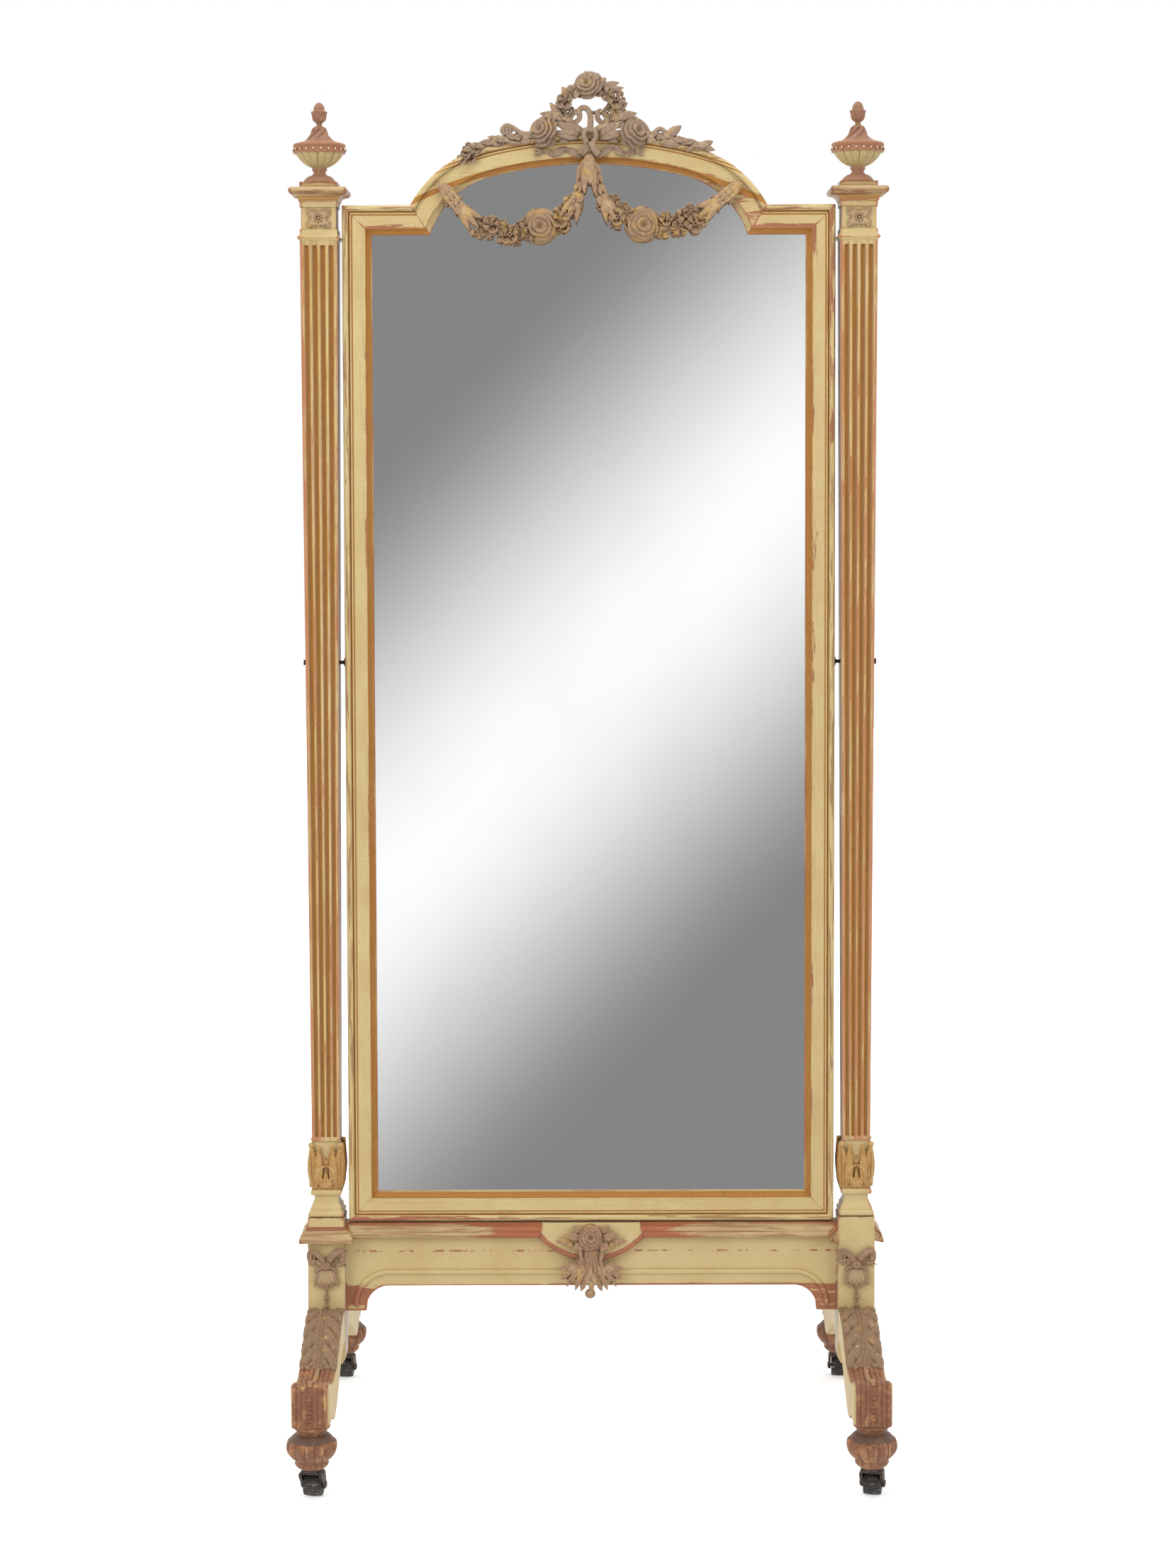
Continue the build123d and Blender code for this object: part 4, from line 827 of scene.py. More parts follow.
class MIRROR_OT_turn_bun_feet(bpy.types.Operator):
    """Turn the four bun feet and carve their gadroons"""

    bl_idname = "mirror.turn_bun_feet"
    bl_label = "Turn the bun feet"

    def execute(self, context):
        lobes = context.scene.mirror_sizes.gadroons
        for corner in CORNERS:
            low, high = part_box(f"{corner}_bun_foot")
            middle = (low + high) / 2
            base = low.z / MM
            material = foot_finish(f"{corner}_foot_finish", (low.z + 43 * MM, low.z + 53 * MM))
            belly = smooth_profile(raised(base, [
                (24.6, 12), (29, 15.5), (34.4, 21.5), (37.6, 28), (38.2, 33.5), (37.4, 38.5), (34.8, 43),
            ]), 26)
            under = raised(base, [(0, 0), (18.5, 0), (21, 1.6), (24.4, 5), (25.6, 8), (24, 11)])
            neck = raised(base, [
                (32.6, 44.5), (29, 48.5), (25.4, 51.4), (21.6, 52.6), (20.4, 54.6), (21.2, 56.6),
                (23.4, 57.4), (22.8, 59), (26, 60.4), (28.2, 63), (28, 65.6), (26, 68), (0, 68),
            ])
            profile = [*under, *belly, *neck]

            def carve(angle, z, radius):
                share = (z - base - 11.5) / 32
                if not 0 < share < 1 or radius < 24:
                    return radius
                groove = 1 - abs(sin(lobes * angle / 2)) ** 0.45
                outline = exp(-(((share - 0.9) / 0.06) ** 2))
                return radius - 4.0 * groove * min(1, 3.5 * share) + 0.7 * outline

            bm = turned(profile, middle.x / MM, middle.y / MM, 168, carve)
            name = f"{corner}_gadrooned_foot"
            add_piece(name, bm, material, "stand", [f"{corner}_bun_foot"])
        return {"FINISHED"}


def foot_finish(name, dark_band=None):
    """Red-brown ground with traces of gold, as on the feet and toe blocks."""
    finish = Finish(name, roughness=0.5)
    fine = finish.noise(260, detail=6)
    patch = finish.noise(60, detail=6, rough=0.65)
    streak = finish.noise(110, detail=6, stretch=GRAIN["z"], shift=(2, 5, 1))
    surface = finish.mix(finish.share(fine, 0.35, 0.65), srgb(150, 100, 68), srgb(124, 82, 60))
    surface = finish.mix(finish.share(patch, 0.52, 0.6), surface, srgb(176, 124, 84))
    surface = finish.mix(finish.share(streak, 0.6, 0.66), surface, srgb(198, 158, 104))
    if dark_band:
        low, high = dark_band
        shoulder = finish.band(finish.axes()[2], (low + high) / 2, (high - low) / 2, 0.6 * MM)
        surface = finish.mix(finish.math("MULTIPLY", shoulder, 0.75), surface, srgb(92, 74, 66))
    rubbed = finish.math("MULTIPLY", finish.edge(2.0 * MM, 0.4, 0.85), 0.5)
    surface = finish.mix(rubbed, surface, srgb(204, 158, 108))
    shade = finish.math("MULTIPLY", finish.hollow(6 * MM, 0.1, 0.8), 0.8)
    surface = finish.mix(shade, surface, srgb(70, 46, 36))
    finish.colour(surface)
    finish.vary_roughness(patch, 0.38, 0.7)
    finish.bump(fine, 0.35, 0.7 * MM)
    return finish.material


LEG_HALF_W = 28.5
LEG_ROOT = 30  # where the top of a leg leaves its post, out from the post's axis
LEG_RUN = 313
LEG_FRONT = 344.5
LEG_STEPS = 120  # samples of the height along the top


class MIRROR_OT_carve_legs(bpy.types.Operator):
    """Carve the acanthus, the reeds and the bead strings on the legs"""

    bl_idname = "mirror.carve_legs"
    bl_label = "Carve the legs"

    def execute(self, context):
        palette = context.scene.mirror_colours
        sizes = context.scene.mirror_sizes
        acanthus_finish = carved_finish(
            "leg_carving_finish", palette, 0.18, ground=srgb(136, 108, 82), light=srgb(160, 130, 100)
        )
        toe_finish = foot_finish("toe_finish")
        bead_finish = carved_finish("bead_finish", palette, gold=0.3, ground=srgb(166, 120, 84))
        for corner, (side, end) in CORNERS.items():
            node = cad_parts[f"{corner}_leg"]
            tree = BVHTree.FromPolygons(
                [v.co for v in node.data.vertices], [p.vertices for p in node.data.polygons]
            )
            axis_x = side * POST_X / MM
            half = LEG_HALF_W
            front = LEG_FRONT
            toe_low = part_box(f"{corner}_bun_foot")[1].z / MM
            out_steps = [LEG_ROOT + LEG_RUN * k / LEG_STEPS for k in range(LEG_STEPS + 1)]
            top_line = [
                tree.ray_cast(at(axis_x, end * out, 400), -UP)[0].z / MM for out in out_steps
            ]

            def leg_top(out):
                """Height of the top of the leg, out from the middle of the post."""
                place = min(max((out - LEG_ROOT) / LEG_RUN * LEG_STEPS, 0), LEG_STEPS - 0.001)
                k = int(place)
                return top_line[k] + (top_line[k + 1] - top_line[k]) * (place - k)

            def on_leg(x, out, proud=0.0):
                return at(axis_x + x, end * out, leg_top(out) + proud)

            carving = Carving()
            root, tip = 30, 197

            def acanthus(u, t):
                away = abs(u)
                flare = 0.20 + 0.22 * (2 * t - 1) ** 2
                stalk = exp(-((away / flare) ** 4))
                lobe = 4.6 * t - 1.25 * away + 0.4
                part = lobe % 1
                leaflet = sin(pi * part) ** 0.55 * (0.86 + 0.14 * cos(6 * pi * part))
                ribs = 0.75 + 0.25 * cos(10 * pi * u)
                height = 0.4 + 4.6 * stalk * ribs + 6.2 * (1 - stalk) * leaflet * (1 - 0.4 * away**4)
                near = min(part, 1 - part) / 4.6 * 167
                for hole_at, size in ((0.46, 2.9), (0.80, 2.1)):
                    spot = hypot((away - hole_at) * half, near - (2.5 if hole_at > 0.6 else 0))
                    height -= 6.0 * exp(-((spot / size) ** 4))
                curl = exp(-(((t - 0.975) / 0.03) ** 2)) * (0.5 + 0.5 * cos(7 * u))
                droop = max(0, t - 0.97) / 0.03
                height = max(height, 0.2) + 3.2 * curl
                wide = half - 1.0 + 1.8 * leaflet * (1 - stalk)
                ragged = 4 * cos(9 * u) * t**8
                proud = height * (1 - 0.8 * droop) + 0.2
                return on_leg(u * wide, root + (tip - root) * t + ragged, proud)

            carving.sheet(64, 150, acanthus)
            for index in range(6):
                x = (index - 2.5) * 9.6
                carving.bead(on_leg(x, tip + 1.0 + 2 * (index % 2), 2.2), 4.2 * MM, (1, 0.9, 0.8), rounds=3)
            bm = carving.finish(sizes.leaf_thickness)
            add_piece(f"{corner}_acanthus", bm, acanthus_finish, "stand")

            reeds = Carving()
            rise = leg_top(343) - toe_low - 1
            bead_half, reed_w = 4.6, 7.34

            def reeded(u, t):
                run = t * (rise + front - 190)
                x = u * 26.6
                away = abs(x)
                wave = abs(sin(pi * (away - bead_half) / reed_w)) ** 0.6
                ridge = 0.7 if away < bead_half else 0.4 + 2.3 * wave
                if run < rise - 3:
                    return at(axis_x + x, end * (front + ridge), toe_low + 0.8 + run)
                if run < rise + 3:
                    lean = (run - rise + 3) / 6
                    up = toe_low + 1.8 + rise + ridge - (3 + ridge) * max(0, 1 - 2 * lean)
                    out = front + ridge + 0.3 - 3 * max(0, 2 * lean - 1)
                    return at(axis_x + x, end * out, up)
                return on_leg(x, front - (run - rise), ridge)

            reeds.sheet(88, 90, reeded)
            bm = reeds.finish(sizes.leaf_thickness)
            add_piece(f"{corner}_reeds", bm, toe_finish, "stand")

            beads = Carving()
            for index in range(27):
                out = 203 + index * 5.2
                beads.bead(on_leg(0, out, 2.6), 3.3 * MM, (1.25, 0.7, 0.8), rounds=2)
            bm = beads.finish(sizes.leaf_thickness)
            add_piece(f"{corner}_bead_string", bm, bead_finish, "stand")

            drops = Carving()
            for index in range(int((rise - 4) / 6.4)):
                spot = at(axis_x, end * (front + 0.9), toe_low + 5 + index * 6.4)
                drops.bead(spot, 3.6 * MM, (1, 0.72, 0.88), rounds=2)
            bm = drops.finish(sizes.leaf_thickness)
            add_piece(f"{corner}_toe_beads", bm, toe_finish, "stand")
        return {"FINISHED"}


class MIRROR_OT_carve_urns(bpy.types.Operator):
    """Turn and carve the urns and their spiral-fluted lids"""

    bl_idname = "mirror.carve_urns"
    bl_label = "Carve the urns"

    def execute(self, context):
        palette = context.scene.mirror_colours
        lid_finish = carved_finish(
            "urn_lid_finish", palette, gold=0.0, ground=srgb(146, 104, 80), light=srgb(166, 122, 94)
        )
        for side, sign in SIDES.items():
            axis = sign * POST_X / MM
            low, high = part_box(f"{side}_urn")
            foot, seat = low.z / MM, high.z / MM
            rim, bowl = seat - 15, seat - 36.5

            def on_rim(finish):
                return finish.share(finish.axes()[2], (rim - 0.4) * MM, (rim + 0.3) * MM)

            def under_bowl(finish):
                return finish.share(finish.axes()[2], (bowl + 0.5) * MM, (bowl - 0.5) * MM)

            def on_beads(finish):
                x, y, _ = finish.axes()
                flat = finish.math("POWER", finish.math("SUBTRACT", x, axis * MM), 2.0)
                out = finish.math("SQRT", finish.math("ADD", flat, finish.math("POWER", y, 2.0)))
                return finish.math("MULTIPLY", finish.share(out, 41.1 * MM, 41.5 * MM), on_rim(finish))

            zones = (
                (on_rim, srgb(170, 116, 84)),
                (under_bowl, srgb(168, 124, 96)),
                (on_beads, srgb(222, 204, 168)),
            )
            bowl_finish = carved_finish(
                f"{side}_urn_finish", palette, 0.05, srgb(188, 164, 112), srgb(208, 190, 138), zones
            )
            bowl_line = smooth_profile([
                (12, bowl + 0.3), (19, bowl + 3.5), (26.5, bowl + 9), (32, bowl + 15), (36, rim - 0.3),
            ], 18)
            stand = raised(foot, [
                (0, 0), (25, 0), (24.6, 2.5), (22.8, 6.2), (19, 9.2), (16.8, 10.6), (12.2, 12),
                (9.9, 14.6), (9.3, 17.8), (11, 18.6), (11.8, 20.8), (11.4, 23.3),
            ])
            lip = raised(rim, [
                (39.5, 0), (41, 1), (40.6, 2.6), (39.2, 4.4), (39, 7), (39.6, 9.6), (41, 11.2), (40.8, 13),
            ])
            profile = [*stand, *bowl_line, *lip, (39, seat), (0, seat)]

            def carve_bowl(angle, z, radius):
                if not bowl + 0.6 < z < rim - 0.1 or radius < 12:
                    return radius
                share = (z - bowl) / (rim - bowl)
                tongue = 1 - abs(sin(8 * angle)) ** 0.5
                vein = 1 - abs(cos(8 * angle)) ** 0.3
                return radius + 0.6 - 4.6 * tongue * min(1, 2.2 * share) + 0.9 * vein

            bm = turned(profile, axis, 0, 216, carve_bowl)
            beads = 22
            for index in range(beads):
                angle = 2 * pi * index / beads
                spot = at(axis + 40.9 * cos(angle), 40.9 * sin(angle), rim + 5.4)
                place = Matrix.Translation(spot)
                bmesh.ops.create_icosphere(bm, subdivisions=2, radius=1.8 * MM, matrix=place)
            name = f"{side}_carved_urn"
            add_piece(name, bm, bowl_finish, "stand", [f"{side}_urn"])

            cone = seat + 27
            bud = cone + 4.5
            slope = raised(seat, [
                (37.2, 0.5), (33, 1.6), (27, 3.1), (21.5, 6), (17, 11), (13.6, 17.5), (11.2, 23),
            ])
            lid_line = smooth_profile([*slope, (10.2, cone - 2.2)], 30)
            collar = raised(cone, [(8, -0.8), (4.8, 0.6), (4.1, 2.6)])
            cup = raised(bud, [(4.4, 0.4), (8.2, 3.2), (10.4, 8), (11.1, 13), (12.6, 18.2)])
            tip = raised(bud, [
                (11, 18.8), (9, 18.6), (8.8, 22), (7.8, 26), (5.6, 29.8), (3, 31.9), (0, 32.5),
            ])
            profile = [(0, seat), (37.6, seat), *lid_line, *collar, *smooth_profile(cup, 14), *tip]

            def carve_lid(angle, z, radius):
                if seat + 1 < z < cone - 2.4:
                    height = (z - seat) / 25
                    fade = min(1, 3 * height) * min(1, 6 * (1 - height))
                    swirl = 0.5 + 0.5 * cos(6 * (angle - 1.9 * height))
                    return radius - 3.6 * fade * swirl**2
                if bud + 3 < z < bud + 18.4:
                    lift = (z - bud) / 18
                    split = 1.8 * (1 - abs(cos(3 * angle)) ** 0.7)
                    return radius - split * min(1, lift) - 0.5 * cos(18 * angle)
                return radius

            bm = turned(profile, axis, 0, 160, carve_lid)
            name = f"{side}_fluted_lid"
            add_piece(name, bm, lid_finish, "stand", [f"{side}_urn_lid"])
        return {"FINISHED"}


class MIRROR_OT_carve_collars(bpy.types.Operator):
    """Carve the leaves round the foot of each fluted shaft"""

    bl_idname = "mirror.carve_collars"
    bl_label = "Carve the leaf collars"

    def execute(self, context):
        palette = context.scene.mirror_colours
        sizes = context.scene.mirror_sizes
        material = carved_finish(
            "collar_finish", palette, gold=0.35, ground=srgb(182, 130, 66), light=srgb(200, 158, 98)
        )
        for side, sign in SIDES.items():
            axis = sign * POST_X / MM
            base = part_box(f"{side}_leaf_collar")[0].z / MM
            carving = Carving()
            for quarter in range(4):
                turn = quarter * pi / 2
                out = Vector((cos(turn), sin(turn), 0))
                across = Vector((-sin(turn), cos(turn), 0))

                def spot(u, z, proud):
                    """A place on this face: u across it, z up it and proud of the block."""
                    return at(axis, 0, base + z) + (across * u + out * proud) * MM

                def panel(u, t):
                    flare = 23.0 + 0.9 * t
                    notch = 1 - 0.22 * exp(-((u / 0.2) ** 2))
                    return spot(u * flare, 0.3 + 60 * t * notch, flare + 0.2 * cos(20 * u))

                carving.sheet(24, 8, panel)
                for hand in (-1, 1):
                    fine = {"ribs": 3, "cells": (10, 20)}
                    root, tip = spot(hand * 17, 1, 23), spot(hand * 23.6, 75, 24.2)
                    leaf(carving, root, tip, 19 * MM, out, rise=0.02, curl=0.015, **fine)
                    root, tip = spot(hand * 12, 6, 24), spot(hand * 11, 69, 26.2)
                    leaf(carving, root, tip, 15 * MM, out, rise=0.03, curl=0.0, **fine)
                    carving.bead(spot(hand * 23.0, 71.5, 23.4), 4.6 * MM, (1, 1, 0.9), rounds=3)
                    carving.bead(spot(hand * 10.5, 66, 24.4), 3.8 * MM, (1, 1, 0.9), rounds=3)
                    arch = ((16, 2, 25), (15, 22, 26), (9, 34, 26.2), (0, 39, 26))
                    path = [spot(hand * u, z, proud) for u, z, proud in arch]
                    stem(carving, path, 2.0 * MM, cells=(8, 20))
                for u, z in ((-9, 23), (0, 33), (9, 23)):
                    root, tip = spot(u * 0.4, 1, 24), spot(u, z, 25.4)
                    leaf(carving, root, tip, 9 * MM, out, rise=0.05, cells=(6, 10))
            bm = carving.finish(sizes.leaf_thickness)
            name = f"{side}_carved_collar"
            add_piece(name, bm, material, "stand", [f"{side}_leaf_collar"])
        return {"FINISHED"}


class MIRROR_OT_carve_rosettes(bpy.types.Operator):
    """Carve the pierced rosettes of the frieze blocks"""

    bl_idname = "mirror.carve_rosettes"
    bl_label = "Carve the rosettes"

    def execute(self, context):
        palette = context.scene.mirror_colours
        sizes = context.scene.mirror_sizes
        material = carved_finish("rosette_finish", palette, gold=0.3, light=srgb(186, 154, 116))
        for side in SIDES:
            low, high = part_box(f"{side}_rosette")
            middle = (low + high) / 2
            back = high.y / MM
            x0, z0 = middle.x / MM, middle.z / MM
            carving = Carving()
            for index in range(4):
                angle = pi / 4 + index * pi / 2
                for bend in (-0.34, 0.0, 0.34):
                    reach = 24 if bend == 0 else 19
                    root = at(x0 + 5 * cos(angle), back - 2.4, z0 + 5 * sin(angle))
                    tip_x = x0 + reach * cos(angle + bend) * 1.12
                    tip_z = z0 + reach * sin(angle + bend) * 0.86
                    tip = at(tip_x, back - 1.4, tip_z)
                    leaf(carving, root, tip, 10 * MM, lobes=2, rise=0.14, cells=(6, 10))
            for index in range(4):
                angle = index * pi / 2
                root = at(x0 + 3 * cos(angle), back - 3, z0 + 3 * sin(angle))
                tip = at(x0 + 13 * cos(angle), back - 2.0, z0 + 13 * sin(angle))
                leaf(carving, root, tip, 11 * MM, rise=0.10, cells=(6, 8))

            def plate(u, t):
                angle = 2 * pi * t
                reach = 12 / (abs(cos(angle)) + abs(sin(angle)))
                x = x0 + reach * (u + 1) / 2 * cos(angle)
                return at(x, back - 2.6, z0 + reach * (u + 1) / 2 * sin(angle))

            carving.sheet(4, 32, plate)

            def ring(angle, t):
                turn = 2 * pi * t
                reach = 5.0 + 1.5 * cos(angle)
                y = back - 4.8 + 1.6 * sin(angle)
                return at(x0 + reach * cos(turn), y, z0 + reach * sin(turn))

            carving.closed(8, 28, ring)
            carving.bead(at(x0, back - 3.4, z0), 3.4 * MM, (1, 0.5, 1))
            bm = carving.finish(sizes.leaf_thickness)
            name = f"{side}_pierced_rosette"
            add_piece(name, bm, material, "stand", [f"{side}_rosette"])
        return {"FINISHED"}


class MIRROR_OT_tie_bows(bpy.types.Operator):
    """Carve the bows with their bell husks on the lower blocks"""

    bl_idname = "mirror.tie_bows"
    bl_label = "Tie the bows"

    def execute(self, context):
        palette = context.scene.mirror_colours
        sizes = context.scene.mirror_sizes
        material = carved_finish(
            "bow_finish", palette, gold=0.2, ground=srgb(148, 116, 88), light=srgb(172, 138, 110)
        )
        for side in SIDES:
            low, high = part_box(f"{side}_bow")
            x0 = (low.x + high.x) / 2 / MM
            face = high.y / MM
            bottom = low.z / MM
            knot = bottom + 72
            carving = Carving()
            for hand in (-1, 1):
                loop = [
                    (3, 4, -5), (9, 16, -8), (17, 23, -8), (25, 22, -6), (26, 12, -4), (22, 3, -3.5),
                    (17, 7, -3), (11, 6, -3), (3, 1, -4),
                ]
                points = [at(x0 + hand * x, face + y, knot + z) for x, z, y in loop]
                ribbon(carving, points, 9 * MM, lambda t: 0.5 * sin(2 * pi * t), cells=(6, 30))
                tail = [(4, -2, -4), (12, -5, -4), (17, -11, -3)]
                points = [at(x0 + hand * x, face + y, knot + z) for x, z, y in tail]
                ribbon(carving, points, 6 * MM, cells=(4, 8))
            carving.bead(at(x0, face - 5.5, knot), 7.6 * MM, (1, 0.75, 0.9), rounds=3)

            def knot_ring(angle, t):
                turn = 2 * pi * t
                reach = 4.2 + 1.8 * cos(angle)
                y = face - 10.2 + 1.8 * sin(angle)
                return at(x0 + reach * cos(turn), y, knot + reach * sin(turn) * 0.8)

            carving.closed(8, 20, knot_ring)
            husk_top, husk_low = knot - 5, knot - 40
            for spread in (-19, -10, 0, 10, 20):
                root = at(x0 + spread * 0.15, face - 4, husk_top)
                tip = at(x0 + spread, face - 2.5, husk_low + abs(spread) * 0.35)
                leaf(carving, root, tip, 14 * MM, rise=0.12, curl=0.12, ribs=3, cells=(8, 14))
            for drop, radius in ((9, 2.6), (16, 4.2), (23, 2.2), (29, 3.2), (34, 4.0)):
                z = husk_low + 4 - drop
                if z > bottom + 2:
                    carving.bead(at(x0, face - 3, z), radius * MM)
            stem(carving, [at(x0, face - 2, husk_low + 8), at(x0, face - 2, bottom + 2)], 1.6 * MM)
            bm = carving.finish(sizes.ribbon_thickness)
            add_piece(f"{side}_carved_bow", bm, material, "stand", [f"{side}_bow"])
        return {"FINISHED"}


class MIRROR_OT_carve_rail_ornament(bpy.types.Operator):
    """Carve the lunette, rose, leaves and shell at the middle of the rail"""

    bl_idname = "mirror.carve_rail_ornament"
    bl_label = "Carve the rail ornament"

    def execute(self, context):
        palette = context.scene.mirror_colours
        sizes = context.scene.mirror_sizes
        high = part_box("rail_ornament")[1]
        face = high.y / MM
        top = high.z / MM
        chord = top - 23
        half = 84.0
        depth = 37.0
        arc_r = (half**2 + depth**2) / (2 * depth)

        def lower_edge(x):
            return chord + arc_r - depth - sqrt(arc_r**2 - x**2)

        plate = bmesh.new()
        made = bmesh.ops.create_grid(plate, x_segments=72, y_segments=16, size=1)
        for v in made["verts"]:
            u, t = v.co.x, (v.co.y + 1) / 2
            x = u * half
            inset = 10 * t if t > 0.5 else 5 * t
            x *= 1 - inset / half
            z_low = min(lower_edge(u * half), chord)
            z = z_low + (top - z_low) * t
            rim = exp(-((((z - z_low) - 3.5) / 3.0) ** 2)) if abs(u) < 0.99 else 0.4
            v.co = at(x, face - 9 - 2.6 * rim, z)
        bmesh.ops.recalc_face_normals(plate, faces=plate.faces)
        bmesh.ops.solidify(plate, geom=plate.faces, thickness=8 * MM)
        bmesh.ops.recalc_face_normals(plate, faces=plate.faces)

        def rim_wear(paint):
            x, _, z = paint.axes()
            flat = paint.math("POWER", x, 2.0)
            centre = (chord + arc_r - depth) * MM
            high_part = paint.math("POWER", paint.math("SUBTRACT", z, centre), 2.0)
            out = paint.math("SQRT", paint.math("ADD", flat, high_part))
            return paint.math("MULTIPLY", paint.share(out, (arc_r - 9) * MM, (arc_r - 6) * MM), 2.0)

        plate_paint = aged_paint("lunette_paint", palette, "x", wear=0.2, worn=rim_wear)
        add_piece("rail_lunette", plate, plate_paint, "stand")

        carving = Carving()
        front = face - 12
        rose_z = top - 22
        rose(carving, at(-1, front - 3, rose_z), 19 * MM, Vector((0, -1, 0.15)), turn=0.5)
        sprig = ((12, -2, 44, 6, 15), (10, 6, 30, 20, 14), (10, -8, 34, -20, 15), (30, -10, 57, -4, 13))
        for hand in (-1, 1):
            for dx, dz, length_x, length_z, wide in sprig:
                root = at(hand * dx, front, rose_z + dz)
                tip = at(hand * length_x, front - 2, min(rose_z + length_z, top - 3))
                leaf(carving, root, tip, wide * MM, lobes=3, rise=0.16, cells=(8, 14))
            carving.bead(at(hand * 33, front - 1, rose_z - 12), 6 * MM)
            points = [(15, -6), (17, -24), (15, -40), (24, -56), (38, -63), (47, -58)]
            places = [at(hand * x, front - 4, rose_z + z) for x, z in points]
            stem(carving, places, 3.4 * MM, 3.0 * MM, cells=(10, 26))
            for tip_x, tip_z, wide in ((52, -50, 13), (50, -66, 13), (40, -78, 14), (26, -84, 13)):
                root = at(hand * tip_x * 0.42, front - 3, rose_z - 44)
                tip = at(hand * tip_x, front - 3, rose_z + tip_z)
                leaf(carving, root, tip, wide * MM, lobes=2, rise=0.14, curl=0.12, cells=(8, 14))

        def shell(u, t):
            wide = 17 + 3 * t + 24 * t**3
            tips = 7 * t**5 * abs(sin(3.5 * pi * u))
            proud = 2 + 6 * t**2 + 1.7 * t * cos(8 * pi * u) - 2 * u * u
            return at(u * wide - 1, front - proud, rose_z - 10 - 56 * t * (1 - 0.12 * u * u) - tips)

        carving.sheet(64, 30, shell)
        for hand in (-1, 0, 1):
            root = at(hand * 3, front, rose_z - 50)
            tip = at(hand * 17, front - 3, rose_z - 92 + abs(hand) * 6)
            leaf(carving, root, tip, 17 * MM, lobes=3, rise=0.12, curl=0.1, ribs=3, cells=(8, 14))
        stem(carving, [at(0, front - 4, rose_z - 45), at(-1, front - 6, rose_z - 80)], 2.6 * MM)
        carving.bead(at(-2, front - 2, rose_z - 90), 8.5 * MM, (1, 0.8, 0.9), rounds=3)
        bm = carving.finish(sizes.leaf_thickness)
        ground, light = srgb(156, 120, 92), srgb(178, 142, 110)
        material = carved_finish("rail_carving_finish", palette, 0.3, ground, light)
        add_piece("rail_carving", bm, material, "stand", ["rail_ornament"])
        return {"FINISHED"}


# Carving on the looking-glass frame


def scatter_leaves(carving, points, count, reach, width, rng, y_lift=0.0):
    """Small leaves that spring from both sides of a line."""
    for index in range(count):
        t = (index + 0.5) / count
        hand = 1 if index % 2 else -1
        here = along(points, t)
        ahead = direction(points, t)
        side = ahead.cross(FRONT).normalized()
        angle = hand * rng.uniform(0.6, 1.2)
        heading = ahead * cos(angle) + side * sin(angle) + FRONT * rng.uniform(0.0, 0.35)
        size = rng.uniform(0.8, 1.2)
        root = here + FRONT * y_lift
        tip = root + heading * reach * size
        leaf(carving, root, tip, width * size, lobes=2, rise=0.2, cells=(6, 8))


